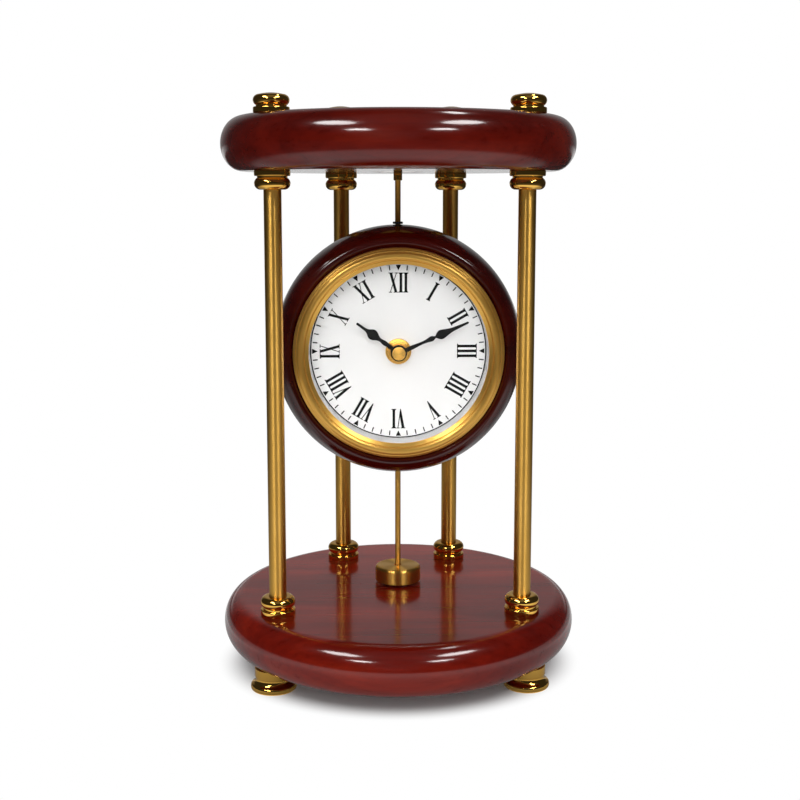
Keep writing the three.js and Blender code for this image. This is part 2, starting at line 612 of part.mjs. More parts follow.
const pinHalf = CLEVIS_DIAMETER / 2 - EDGE_EASE;
const pinSolid = cylinderAlongDial(PIVOT_PIN_DIAMETER / 2, -pinHalf, pinHalf);
add(stand, 'suspension_clevis', clevis(), 'brass').position.set(0, PENDULUM_Y, TOP_BOTTOM);
add(stand, 'pivot_pin', pinSolid, 'steel').position.set(0, PENDULUM_Y, PIVOT_Z);
add(stand, 'clevis_screw_left', screwSolid(0), 'brass').position.set(-SCREW_X, PENDULUM_Y, TOP_BOTTOM);
add(stand, 'clevis_screw_right', screwSolid(0), 'brass').position.set(SCREW_X, PENDULUM_Y, TOP_BOTTOM);

// Pendulum: its pieces are placed from the middle of the clock head
const pendulum = new THREE.Group();
pendulum.position.set(0, PENDULUM_Y, HEAD_Z);
clock.add(pendulum);

const UNDERSIDE = TOP_BOTTOM - HEAD_Z;
const SLEEVE_FLOOR = UNDERSIDE + SLEEVE_HEIGHT - SLEEVE_DROP - SLEEVE_ROOF;
const BOB_BOTTOM = BASE_TOP + BOB_GROUND_CLEARANCE - HEAD_Z;
const ROD_SOCKET_FLOOR = HEAD_RADIUS - ROD_SOCKET_DEPTH;
const ROD_SOCKET_END = ROD_SOCKET_FLOOR + CLEARANCE;
const upperRod = cylinderUp(ROD_DIAMETER / 2, ROD_SOCKET_END, SLEEVE_FLOOR - CLEARANCE);
const lowerRod = cylinderUp(ROD_DIAMETER / 2, BOB_BOTTOM + BOB_FLOOR + CLEARANCE, -ROD_SOCKET_END);

function rodWasher() {
  const rim = ROD_HOLE_RADIUS + ROD_WASHER_WIDTH;
  return turned(loop([
    [ROD_HOLE_RADIUS, 0],
    [rim, 0],
    [rim, ROD_WASHER_HEIGHT - EDGE_EASE],
    [rim - EDGE_EASE, ROD_WASHER_HEIGHT],
    [ROD_HOLE_RADIUS, ROD_WASHER_HEIGHT],
  ]));
}

function bob() {
  const rim = BOB_DIAMETER / 2;
  const shoulder = BOB_HEIGHT - BOB_ROUND;
  return turned([
    [0, 0],
    [rim - EDGE_EASE, 0],
    [rim, EDGE_EASE],
    ...arc(rim - BOB_ROUND, shoulder, BOB_ROUND, BOB_ROUND, 0, Math.PI / 2, EDGE_STEPS),
    [ROD_HOLE_RADIUS, BOB_HEIGHT],
    [ROD_HOLE_RADIUS, BOB_FLOOR],
    [0, BOB_FLOOR],
  ], ROUND_SEGMENTS);
}

add(pendulum, 'suspension_eye', suspensionEye(), 'brass').position.z = UNDERSIDE;
add(pendulum, 'upper_rod', upperRod, 'brass');
add(pendulum, 'rod_washer', rodWasher(), 'black').position.z = HEAD_RADIUS + CLEARANCE;
add(pendulum, 'lower_rod', lowerRod, 'brass');
add(pendulum, 'bob', bob(), 'brass').position.z = BOB_BOTTOM;

// Wooden head: dial recess in front, a web that carries the movement, a pocket open at the back
function headCase() {
  const reach = HEAD_RADIUS + CLEARANCE;
  const half = HEAD_THICKNESS / 2;
  const nose = arc(HEAD_RADIUS - HEAD_NOSE, 0, HEAD_NOSE, half, -Math.PI / 2, Math.PI / 2, NOSE_STEPS);
  return turnedAlongDial(loop([
    [BUSH_HOLE_RADIUS, WEB_FRONT],
    [DIAL_BORE_RADIUS, WEB_FRONT],
    [DIAL_BORE_RADIUS, BEZEL_SEAT],
    [BEZEL_RADIUS + BEZEL_SEAT_MARGIN, BEZEL_SEAT],
    ...nose,
    [POCKET_RADIUS, HEAD_REAR],
    [POCKET_RADIUS, WEB_REAR],
    [BUSH_HOLE_RADIUS, WEB_REAR],
  ]))
    .subtract(cylinderUp(ROD_HOLE_RADIUS, ROD_SOCKET_FLOOR, reach))
    .subtract(cylinderUp(ROD_HOLE_RADIUS, -reach, -ROD_SOCKET_FLOOR));
}

function bezel() {
  const flangeFront = BEZEL_SEAT - BEZEL_FLANGE_THICKNESS;
  const coneOuter = BEZEL_OPENING_RADIUS + BEZEL_CONE_WIDTH;
  const ridgeHalf = (BEZEL_RADIUS - EDGE_EASE - coneOuter) / 2;
  const ridgeHeight = flangeFront - BEZEL_FRONT;
  const skirtInner = BEZEL_SKIRT_RADIUS - BEZEL_SKIRT_WALL;
  return turnedAlongDial(loop([
    [BEZEL_OPENING_RADIUS, BEZEL_LIP_FRONT],
    [coneOuter, BEZEL_CONE_FRONT],
    ...arc(coneOuter + ridgeHalf, flangeFront, ridgeHalf, ridgeHeight, BEZEL_RIDGE_START, 0, BEAD_STEPS),
    [BEZEL_RADIUS, flangeFront],
    [BEZEL_RADIUS, BEZEL_SEAT],
    [BEZEL_SKIRT_RADIUS, BEZEL_SEAT],
    [BEZEL_SKIRT_RADIUS, BEZEL_SEAT + BEZEL_SKIRT_DEPTH],
    [skirtInner, BEZEL_SEAT + BEZEL_SKIRT_DEPTH],
    [skirtInner, BEZEL_LIP_REAR],
    [BEZEL_OPENING_RADIUS, BEZEL_LIP_REAR],
  ]));
}

function dialRing() {
  const front = GLASS_REAR + CLEARANCE;
  const rear = DIAL_FRONT - CLEARANCE;
  return turnedAlongDial(loop([
    [DIAL_RING_OPENING_RADIUS, rear],
    [DIAL_RING_OPENING_RADIUS + EDGE_EASE, front],
    [GLASS_RADIUS, front],
    [GLASS_RADIUS, rear],
  ]));
}

function dial() {
  const rim = DIAL_BORE_RADIUS - CLEARANCE;
  return turnedAlongDial(loop([
    [BUSH_HOLE_RADIUS, DIAL_FRONT],
    [rim, DIAL_FRONT],
    [rim, DIAL_REAR],
    [BUSH_HOLE_RADIUS, DIAL_REAR],
  ]));
}

function dialNut() {
  const rim = BUSH_HOLE_RADIUS + DIAL_NUT_WIDTH;
  const collarRim = BUSH_HOLE_RADIUS + DIAL_NUT_COLLAR_WIDTH;
  const shelf = (NUT_FRONT + NUT_REAR) / 2;
  return turnedAlongDial(loop([
    [BUSH_HOLE_RADIUS, NUT_FRONT],
    [collarRim, NUT_FRONT],
    [collarRim, shelf],
    [rim - EDGE_EASE, shelf],
    [rim, shelf + EDGE_EASE],
    [rim, NUT_REAR],
    [BUSH_HOLE_RADIUS, NUT_REAR],
  ]), ROUND_SEGMENTS);
}

const glassSolid = cylinderAlongDial(GLASS_RADIUS, GLASS_FRONT, GLASS_REAR, CENTRE, HEAD_SEGMENTS);
add(pendulum, 'head_case', headCase(), 'wood');
add(pendulum, 'bezel', bezel(), 'brass');
add(pendulum, 'glass', glassSolid, 'glass');
add(pendulum, 'dial_ring', dialRing(), 'silver');
add(pendulum, 'dial', dial(), 'dial');
add(pendulum, 'dial_nut', dialNut(), 'brass');

// Hands: each outline is a list of [share of the length, share of the width] from the hub out
const HOUR_HAND_OUTLINE = [
  [0.27, 0.4], [0.33, 0.49], [0.43, 0.34], [0.49, 0.49], [0.57, 0.96], [0.65, 1], [0.74, 0.42],
  [0.83, 0.27], [0.985, 0.25],
];
const MINUTE_HAND_OUTLINE = [
  [0.19, 0.46], [0.31, 0.31], [0.39, 0.36], [0.47, 0.58], [0.51, 0.31], [0.53, 0.29], [0.555, 0.67],
  [0.59, 1], [0.63, 0.98], [0.74, 0.5], [0.85, 0.33], [0.985, 0.23],
];
const MINUTE_ANGLE = Math.PI * 2 * MINUTES_SHOWN / 60;
const HOUR_ANGLE = Math.PI * 2 * (HOURS_SHOWN + MINUTES_SHOWN / 60) / 12;

function handShape(length, width, outline, boreRadius) {
  const half = width / 2;
  const leave = Math.asin(outline[0][1] * half / HUB_RADIUS);
  const right = outline.map(([along, across]) => new THREE.Vector2(across * half, along * length));
  const left = outline.map(([along, across]) => new THREE.Vector2(-across * half, along * length)).reverse();
  const shape = new THREE.Shape([...right, new THREE.Vector2(0, length), ...left]);
  shape.absarc(0, 0, HUB_RADIUS, Math.PI / 2 + leave, Math.PI * 5 / 2 - leave, false);
  shape.holes.push(new THREE.Path().absarc(0, 0, boreRadius, 0, Math.PI * 2, true));
  return shape;
}

function handCap() {
  const rim = ARBOR_BORE + HAND_CAP_WALL;
  const ease = EDGE_EASE / 2;
  return turnedAlongDial([
    [0, CAP_FRONT],
    [rim - ease, CAP_FRONT],
    [rim, CAP_FRONT + ease],
    [rim, CAP_REAR],
    [ARBOR_BORE, CAP_REAR],
    [ARBOR_BORE, ARBOR_FRONT - CLEARANCE],
    [0, ARBOR_FRONT - CLEARANCE],
  ], ROUND_SEGMENTS);
}

const HOUR_HAND_BORE = HOUR_TUBE_RADIUS + CLEARANCE;
const hourShape = handShape(HOUR_HAND_LENGTH, HOUR_HAND_WIDTH, HOUR_HAND_OUTLINE, HOUR_HAND_BORE);
const minuteShape = handShape(MINUTE_HAND_LENGTH, MINUTE_HAND_WIDTH, MINUTE_HAND_OUTLINE, ARBOR_BORE);
add(pendulum, 'hour_hand', plate(hourShape, HOUR_HAND_FRONT, HOUR_HAND_REAR, HOUR_ANGLE), 'black');
add(pendulum, 'minute_hand', plate(minuteShape, MINUTE_HAND_FRONT, MINUTE_HAND_REAR, MINUTE_ANGLE), 'black');
add(pendulum, 'hand_cap', handCap(), 'brass');

// Toothed wheels: straight-sided teeth, one of them at the angle phase
function toothedShape(teeth, pitch, phase, boreRadius = 0) {
  const size = pitch * 2 / teeth;
  const root = pitch - TOOTH_DEDENDUM * size;
  const tip = tipRadius(teeth, pitch);
  const tooth = [
    [root, -TOOTH_ROOT_HALF],
    [tip, -TOOTH_TIP_HALF],
    [tip, TOOTH_TIP_HALF],
    [root, TOOTH_ROOT_HALF],
  ];
  const points = [];
  for (let i = 0; i < teeth; i += 1) {
    for (const [radius, share] of tooth) {
      const angle = phase + (i + share) * Math.PI * 2 / teeth;
      points.push(new THREE.Vector2(radius * Math.cos(angle), radius * Math.sin(angle)));
    }
  }
  const shape = new THREE.Shape(points);
  if (boreRadius > 0) {
    shape.holes.push(new THREE.Path().absarc(0, 0, boreRadius, 0, Math.PI * 2, true));
  }
  return shape;
}

// The phase that puts a gap of the second wheel where a tooth of the first wheel reaches it
function meshPhase(teeth, phase, direction, otherTeeth) {
  return direction + Math.PI + ((direction - phase) * teeth + Math.PI) / otherTeeth;
}

const MINUTE_WHEEL_PHASE = meshPhase(CANNON_TEETH, MINUTE_WHEEL_DIRECTION, MINUTE_WHEEL_DIRECTION,
  MINUTE_WHEEL_TEETH);
const MINUTE_PINION_PHASE = meshPhase(HOUR_WHEEL_TEETH, MINUTE_WHEEL_DIRECTION, MINUTE_WHEEL_DIRECTION,
  MINUTE_PINION_TEETH);
const KNOB_PINION_PHASE = meshPhase(MINUTE_WHEEL_TEETH, MINUTE_WHEEL_PHASE, KNOB_DIRECTION,
  KNOB_PINION_TEETH);
const INTERMEDIATE_PINION_PHASE = meshPhase(CENTRE_WHEEL_TEETH, INTERMEDIATE_DIRECTION,
  INTERMEDIATE_DIRECTION, INTERMEDIATE_PINION_TEETH);
const ROTOR_PINION_PHASE = meshPhase(INTERMEDIATE_WHEEL_TEETH, ROTOR_DIRECTION, ROTOR_DIRECTION,
  ROTOR_PINION_TEETH);
const POST_RADIUS = POST_DIAMETER / 2;
const POST_BORE = POST_RADIUS + CLEARANCE;
const OVERLAP = WHEEL_THICKNESS / 2;

function centreWheel() {
  const cannon = toothedShape(CANNON_TEETH, CANNON_PITCH, MINUTE_WHEEL_DIRECTION);
  const wheel = toothedShape(CENTRE_WHEEL_TEETH, CENTRE_PITCH, INTERMEDIATE_DIRECTION);
  return cylinderAlongDial(ARBOR_RADIUS, ARBOR_FRONT, CENTRE_WHEEL_REAR + CLEARANCE)
    .add(plate(cannon, MINUTE_WHEEL_FRONT, MINUTE_WHEEL_REAR))
    .add(plate(wheel, CENTRE_WHEEL_FRONT, CENTRE_WHEEL_REAR));
}

function hourWheel() {
  const wheel = toothedShape(HOUR_WHEEL_TEETH, HOUR_WHEEL_PITCH, MINUTE_WHEEL_DIRECTION);
  return cylinderAlongDial(HOUR_TUBE_RADIUS, HOUR_HAND_FRONT, HOUR_WHEEL_REAR)
    .add(plate(wheel, HOUR_WHEEL_FRONT, HOUR_WHEEL_REAR))
    .subtract(cylinderAlongDial(ARBOR_BORE, HOUR_HAND_FRONT - CLEARANCE, HOUR_WHEEL_REAR + CLEARANCE));
}

function minuteWheel() {
  const pinion = toothedShape(MINUTE_PINION_TEETH, MINUTE_PINION_PITCH, MINUTE_PINION_PHASE, POST_BORE);
  const wheel = toothedShape(MINUTE_WHEEL_TEETH, MINUTE_WHEEL_PITCH, MINUTE_WHEEL_PHASE, POST_BORE);
  return plate(pinion, HOUR_WHEEL_FRONT, MINUTE_WHEEL_FRONT + OVERLAP)
    .add(plate(wheel, MINUTE_WHEEL_FRONT, MINUTE_WHEEL_REAR));
}

function intermediateWheel() {
  const pinion = toothedShape(INTERMEDIATE_PINION_TEETH, INTERMEDIATE_PINION_PITCH,
    INTERMEDIATE_PINION_PHASE, POST_BORE);
  const wheel = toothedShape(INTERMEDIATE_WHEEL_TEETH, INTERMEDIATE_PITCH, ROTOR_DIRECTION, POST_BORE);
  return plate(pinion, CENTRE_WHEEL_FRONT, INTERMEDIATE_WHEEL_FRONT + OVERLAP)
    .add(plate(wheel, INTERMEDIATE_WHEEL_FRONT, INTERMEDIATE_WHEEL_REAR));
}

function motorRotor() {
  const pinion = toothedShape(ROTOR_PINION_TEETH, ROTOR_PINION_PITCH, ROTOR_PINION_PHASE);
  return cylinderAlongDial(ROTOR_DIAMETER / 2, ROTOR_FRONT, ROTOR_REAR)
    .add(plate(pinion, ROTOR_REAR - OVERLAP, INTERMEDIATE_WHEEL_REAR))
    .subtract(cylinderAlongDial(POST_BORE, ROTOR_FRONT - CLEARANCE, INTERMEDIATE_WHEEL_REAR + CLEARANCE));
}

function place(mesh, { x, z }) {
  mesh.position.set(x, 0, z);
}

add(pendulum, 'centre_wheel', centreWheel(), 'steel');
add(pendulum, 'hour_wheel', hourWheel(), 'nylon');
place(add(pendulum, 'minute_wheel', minuteWheel(), 'nylon'), MINUTE_WHEEL_PLACE);
place(add(pendulum, 'intermediate_wheel', intermediateWheel(), 'nylon'), INTERMEDIATE_PLACE);
place(add(pendulum, 'motor_rotor', motorRotor(), 'steel'), ROTOR_PLACE);

// Setting knob: reaches the minute wheel through the movement's cover
function knobShape() {
  const outer = KNOB_DIAMETER / 2;
  const points = [];
  for (let i = 0; i < 2 * KNOB_FLUTES; i += 1) {
    const radius = i % 2 ? outer - KNOB_FLUTE_DEPTH : outer;
    const angle = Math.PI * i / KNOB_FLUTES;
    points.push(new THREE.Vector2(radius * Math.cos(angle), radius * Math.sin(angle)));
  }
  return new THREE.Shape(points);
}

function settingKnob() {
  const front = COVER_REAR + CLEARANCE;
  const pinion = toothedShape(KNOB_PINION_TEETH, KNOB_PINION_PITCH, KNOB_PINION_PHASE);
  return plate(knobShape(), front, front + KNOB_HEIGHT)
    .add(cylinderAlongDial(KNOB_ARBOR_DIAMETER / 2, MINUTE_WHEEL_FRONT, front + CLEARANCE))
    .add(plate(pinion, MINUTE_WHEEL_FRONT, MINUTE_WHEEL_REAR));
}

place(add(pendulum, 'setting_knob', settingKnob(), 'black'), KNOB_PLACE);

// Movement case: two bays behind a front wall, the bush for the hands and posts for the wheels
function post(where, rear) {
  return cylinderAlongDial(POST_RADIUS, CASE_FRONT, rear, where);
}

function movementCase() {
  const open = CASE_REAR + CLEARANCE;
  const trainRear = INTERMEDIATE_WHEEL_REAR + CLEARANCE;
  return box(-CASE_HALF, CASE_HALF, CASE_FRONT, CASE_REAR, CASE_BOTTOM, CASE_HALF)
    .subtract(box(-BAY_HALF, BAY_HALF, CASE_FLOOR, open, DIVIDER_TOP, BAY_HALF))
    .subtract(box(-BAY_HALF, BAY_HALF, CASE_FLOOR, open, BATTERY_BAY_BOTTOM, BATTERY_BAY_TOP))
    .add(cylinderAlongDial(BUSH_RADIUS, BUSH_FRONT, CASE_FLOOR))
    .add(post(MINUTE_WHEEL_PLACE, MINUTE_WHEEL_REAR + CLEARANCE))
    .add(post(INTERMEDIATE_PLACE, trainRear))
    .add(post(ROTOR_PLACE, trainRear))
    .subtract(cylinderAlongDial(BUSH_BORE_RADIUS, BUSH_FRONT - CLEARANCE, CASE_FLOOR + CLEARANCE));
}

function movementCover() {
  const hole = KNOB_ARBOR_DIAMETER / 2 + CLEARANCE;
  return box(-CASE_HALF, CASE_HALF, CASE_REAR, COVER_REAR, BATTERY_BAY_TOP, CASE_HALF)
    .subtract(cylinderAlongDial(hole, CASE_REAR - CLEARANCE, COVER_REAR + CLEARANCE, KNOB_PLACE));
}

add(pendulum, 'movement_case', movementCase(), 'black');
add(pendulum, 'movement_cover', movementCover(), 'black');

// Battery between its two contacts
const BATTERY_RADIUS = BATTERY_DIAMETER / 2;
const BATTERY_HALF = BATTERY_LENGTH / 2;
const BATTERY_X = -BATTERY_NUB_LENGTH / 2;
const BATTERY_Y = CASE_FLOOR + CLEARANCE + BATTERY_RADIUS;
const BATTERY_Z = BATTERY_BAY_TOP - CLEARANCE - BATTERY_RADIUS;

function batterySolid() {
  const nub = BATTERY_NUB_DIAMETER / 2;
  const shoulder = BATTERY_RADIUS - EDGE_EASE;
  const outline = [
    [0, -BATTERY_HALF],
    [shoulder, -BATTERY_HALF],
    [BATTERY_RADIUS, EDGE_EASE - BATTERY_HALF],
    [BATTERY_RADIUS, BATTERY_HALF - EDGE_EASE],
    [shoulder, BATTERY_HALF],
    [nub, BATTERY_HALF],
    [nub, BATTERY_HALF + BATTERY_NUB_LENGTH],
    [0, BATTERY_HALF + BATTERY_NUB_LENGTH],
  ];
  return closed(latheOf(outline, TURNED_SEGMENTS).rotateZ(-Math.PI / 2));
}

function contactSolid() {
  const thin = CONTACT_THICKNESS / 2;
  const half = CONTACT_WIDTH / 2;
  return box(-thin, thin, -half, half, -half, half);
}

const CONTACT_X = BAY_HALF - CONTACT_SPACE / 2;
add(pendulum, 'battery', batterySolid(), 'battery').position.set(BATTERY_X, BATTERY_Y, BATTERY_Z);
const positive = add(pendulum, 'battery_contact_positive', contactSolid(), 'steel');
const negative = add(pendulum, 'battery_contact_negative', contactSolid(), 'steel');
positive.position.set(CONTACT_X, BATTERY_Y, BATTERY_Z);
negative.position.set(-CONTACT_X, BATTERY_Y, BATTERY_Z);

// Stepping motor and its circuit
const COIL_RADIUS = COIL_DIAMETER / 2;
const COIL_Z = BAY_HALF - CLEARANCE - COIL_RADIUS;
const STATOR_RIGHT = BAY_HALF - CLEARANCE;
const STATOR_LEG_LEFT = STATOR_RIGHT - STATOR_THICKNESS;
const STATOR_FRONT = ROTOR_FRONT + CLEARANCE;
const CIRCUIT_LEFT = CLEARANCE - BAY_HALF;
const CIRCUIT_RIGHT = -HOUR_WHEEL_TIP - CIRCUIT_BOARD_GAP;

function motorCoil() {
  const winding = COIL_RADIUS - EDGE_EASE;
  const far = COIL_LENGTH - EDGE_EASE;
  const outline = [
    [0, 0],
    [COIL_RADIUS, 0],
    [COIL_RADIUS, EDGE_EASE],
    [winding, EDGE_EASE],
    [winding, far],
    [COIL_RADIUS, far],
    [COIL_RADIUS, COIL_LENGTH],
    [0, COIL_LENGTH],
  ];
  return closed(latheOf(outline, TURNED_SEGMENTS).rotateZ(Math.PI / 2));
}

function statorShape() {
  const reach = ROTOR_DIAMETER / 2 + CLEARANCE;
  const left = ROTOR_PLACE.x - reach - STATOR_THICKNESS;
  const bottom = ROTOR_PLACE.z - reach - STATOR_THICKNESS;
  const shelf = COIL_Z - COIL_RADIUS - CLEARANCE;
  const top = BAY_HALF - CLEARANCE;
  const shape = new THREE.Shape([
    new THREE.Vector2(left, bottom),
    new THREE.Vector2(STATOR_RIGHT, bottom),
    new THREE.Vector2(STATOR_RIGHT, top),
    new THREE.Vector2(STATOR_LEG_LEFT, top),
    new THREE.Vector2(STATOR_LEG_LEFT, shelf),
    new THREE.Vector2(left, shelf),
  ]);
  shape.holes.push(new THREE.Path().absarc(ROTOR_PLACE.x, ROTOR_PLACE.z, reach, 0, Math.PI * 2, true));
  return shape;
}

function circuitBoard() {
  const rear = HOUR_WHEEL_FRONT + CIRCUIT_BOARD_THICKNESS;
  const top = BAY_HALF - CIRCUIT_BOARD_MARGIN;
  return box(CIRCUIT_LEFT, CIRCUIT_RIGHT, HOUR_WHEEL_FRONT, rear, DIVIDER_TOP + CLEARANCE, top);
}

const statorSolid = plate(statorShape(), STATOR_FRONT, STATOR_FRONT + STATOR_THICKNESS);
const COIL_Y = CASE_FLOOR + CLEARANCE + COIL_RADIUS;
add(pendulum, 'motor_coil', motorCoil(), 'copper').position.set(STATOR_LEG_LEFT - CLEARANCE, COIL_Y, COIL_Z);
add(pendulum, 'motor_stator', statorSolid, 'steel');
add(pendulum, 'circuit_board', circuitBoard(), 'circuit');

export default clock;
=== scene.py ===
"""Looks of a table clock whose round head hangs as a pendulum between two boards on four columns."""
import math

import bmesh
import bpy
from mathutils import Matrix, Vector


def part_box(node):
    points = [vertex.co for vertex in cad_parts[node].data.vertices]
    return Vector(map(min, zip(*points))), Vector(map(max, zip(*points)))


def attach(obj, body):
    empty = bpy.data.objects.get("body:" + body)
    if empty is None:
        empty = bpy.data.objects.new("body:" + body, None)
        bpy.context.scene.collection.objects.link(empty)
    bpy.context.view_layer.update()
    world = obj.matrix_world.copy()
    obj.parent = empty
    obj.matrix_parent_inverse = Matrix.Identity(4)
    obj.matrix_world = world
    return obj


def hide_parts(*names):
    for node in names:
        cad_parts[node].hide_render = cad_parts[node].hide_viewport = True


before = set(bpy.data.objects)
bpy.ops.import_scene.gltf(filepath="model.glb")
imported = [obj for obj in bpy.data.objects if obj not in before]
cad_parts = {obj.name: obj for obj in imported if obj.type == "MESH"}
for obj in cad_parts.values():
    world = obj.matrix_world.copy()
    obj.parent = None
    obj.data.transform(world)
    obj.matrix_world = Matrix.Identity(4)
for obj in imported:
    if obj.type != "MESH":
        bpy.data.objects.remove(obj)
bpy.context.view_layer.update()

MM = 0.001
SHARP = math.radians(38)

CORNERS = ("front_left", "front_right", "rear_left", "rear_right")


def node_box(node):
    """Lowest and highest corner of a solid, in millimetres."""
    low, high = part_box(node)
    return Vector(low) / MM, Vector(high) / MM


def middle(node):
    low, high = node_box(node)
    return (low + high) / 2


# Places and levels that the solids have, in millimetres
COLUMNS = {corner: middle(f"column_{corner}").xy for corner in CORNERS}
FEET = {corner: middle(f"foot_{corner}").xy for corner in CORNERS}
BASE_BOTTOM, BASE_TOP = (corner.z for corner in node_box("base_board"))
TOP_BOTTOM, TOP_TOP = (corner.z for corner in node_box("top_board"))
BASE_RADIUS = node_box("base_board")[1].x
TOP_RADIUS = node_box("top_board")[1].x
HEAD = tuple(middle("head_case"))
PENDULUM_Y, HEAD_Z = HEAD[1:]
HOUR_TURN = math.radians(305.5)
MINUTE_TURN = math.radians(66)
PIVOT_Z = TOP_BOTTOM + 6
BULLNOSE_DEPTH = 11.0


# Outlines


def rounded(points, steps=4, loop=False):
    """Outline of (r, h) or (r, h, radius) corners, the corners with a radius made round."""
    out = []
    count = len(points)
    for i, point in enumerate(points):
        corner = Vector(point[:2])
        radius = point[2] if len(point) > 2 else 0.0
        if radius <= 0 or (not loop and i in (0, count - 1)):
            out.append(tuple(corner))
            continue
        before = Vector(points[i - 1][:2]) - corner
        after = Vector(points[(i + 1) % count][:2]) - corner
        half = before.angle(after) / 2
        reach = min(radius / math.tan(half), before.length * 0.49, after.length * 0.49)
        start = corner + before.normalized() * reach
        end = corner + after.normalized() * reach
        for k in range(steps + 1):
            t = k / steps
            out.append(tuple(start * (1 - t) ** 2 + corner * 2 * t * (1 - t) + end * t ** 2))
    return out


def arc(centre, radius, start, end, steps):
    """Points of part of an ellipse, angles in degrees."""
    points = []
    for k in range(steps + 1):
        angle = math.radians(start + (end - start) * k / steps)
        points.append((centre[0] + radius[0] * math.cos(angle), centre[1] + radius[1] * math.sin(angle)))
    return points


def spline(points, steps=6):
    """Smooth curve through points."""
    out = []
    for i in range(len(points) - 1):
        p0 = Vector(points[max(i - 1, 0)])
        p1 = Vector(points[i])
        p2 = Vector(points[i + 1])
        p3 = Vector(points[min(i + 2, len(points) - 1)])
        for k in range(steps):
            t = k / steps
            a = p1 * 2 + (p2 - p0) * t
            b = (p0 * 2 - p1 * 5 + p2 * 4 - p3) * t ** 2
            c = (p1 * 3 - p0 - p2 * 3 + p3) * t ** 3
            out.append(tuple((a + b + c) / 2))
    out.append(tuple(points[-1]))
    return out


# Meshes


def to_object(name, bm, smooth=True):
    bmesh.ops.recalc_face_normals(bm, faces=bm.faces)
    mesh = bpy.data.meshes.new(name)
    bm.to_mesh(mesh)
    bm.free()
    if smooth:
        mesh.shade_smooth()
        mesh.set_sharp_from_angle(angle=SHARP)
    obj = bpy.data.objects.new(name, mesh)
    bpy.context.scene.collection.objects.link(obj)
    return obj


def lathe(name, outline, centre, along="Z", segments=96, loop=False):
    """A turned piece: outline of (radius, place along the axis)."""
    bm = bmesh.new()
    base = Vector(centre)

    def point(radius, height, angle):
        a, b = radius * math.cos(angle), radius * math.sin(angle)
        spot = {"Z": (a, b, height), "Y": (a, height, b), "X": (height, a, b)}[along]
        return bm.verts.new((base + Vector(spot)) * MM)

    rings = []
    for radius, height in outline:
        if radius < 1e-6:
            rings.append([point(0, height, 0)])
        else:
            rings.append([point(radius, height, math.tau * k / segments) for k in range(segments)])
    pairs = list(zip(rings, rings[1:]))
    if loop:
        pairs.append((rings[-1], rings[0]))
    for a, b in pairs:
        for k in range(segments):
            n = (k + 1) % segments
            corners = [a[k % len(a)], a[n % len(a)], b[n % len(b)], b[k % len(b)]]
            corners = list(dict.fromkeys(corners))
            if len(corners) > 2:
                bm.faces.new(corners)
    return to_object(name, bm)


def slab(name, shapes, front, rear, bevel=0.0, centre=HEAD):
    """Flat plates in the dial's plane: each shape is a list of outlines, the first the rim."""
    bm = bmesh.new()
    base = Vector(centre)
    for outlines in shapes:
        edges = []
        for outline in outlines:
            ring = [bm.verts.new((base + Vector((x, front, z))) * MM) for x, z in outline]
            edges += [bm.edges.new((ring[i - 1], ring[i])) for i in range(len(ring))]
        filled = bmesh.ops.triangle_fill(bm, use_beauty=True, use_dissolve=False, edges=edges)
        faces = [g for g in filled["geom"] if isinstance(g, bmesh.types.BMFace)]
        grown = bmesh.ops.extrude_face_region(bm, geom=faces, use_keep_orig=True)
        moved = [g for g in grown["geom"] if isinstance(g, bmesh.types.BMVert)]
        bmesh.ops.translate(bm, verts=moved, vec=(0, (rear - front) * MM, 0))
    obj = to_object(name, bm, smooth=False)
    if bevel:
        soften(obj, bevel)
    return obj


def box(name, low, high, bevel=0.0):
    bm = bmesh.new()
    bmesh.ops.create_cube(bm, size=1)
    size = Vector(high) - Vector(low)
    for vert in bm.verts:
        vert.co = (Vector(low) + Vector([(c + 0.5) * s for c, s in zip(vert.co, size)])) * MM
    obj = to_object(name, bm, smooth=False)
    if bevel:
        soften(obj, bevel)
    return obj


def soften(obj, width, segments=3):
    """Round the edges of a piece by width millimetres."""
    modifier = obj.modifiers.new("edges", "BEVEL")
    modifier.width = width * MM
    modifier.segments = segments
    modifier.limit_method = "ANGLE"
    modifier.angle_limit = math.radians(30)
    modifier.harden_normals = True
    return obj


def carve(obj, *cutters):
    """Take the cutters out of a piece for good."""
    for cutter in cutters:
        modifier = obj.modifiers.new("cut", "BOOLEAN")
        modifier.object = cutter
        modifier.operation = "DIFFERENCE"
        modifier.solver = "EXACT"
    graph = bpy.context.evaluated_depsgraph_get()
    mesh = bpy.data.meshes.new_from_object(obj.evaluated_get(graph))
    obj.modifiers.clear()
    old = obj.data
    obj.data = mesh
    mesh.name = obj.name
    bpy.data.meshes.remove(old)
    for cutter in cutters:
        bpy.data.objects.remove(cutter)
    mesh.shade_smooth()
    mesh.set_sharp_from_angle(angle=SHARP)
    return obj


# Materials


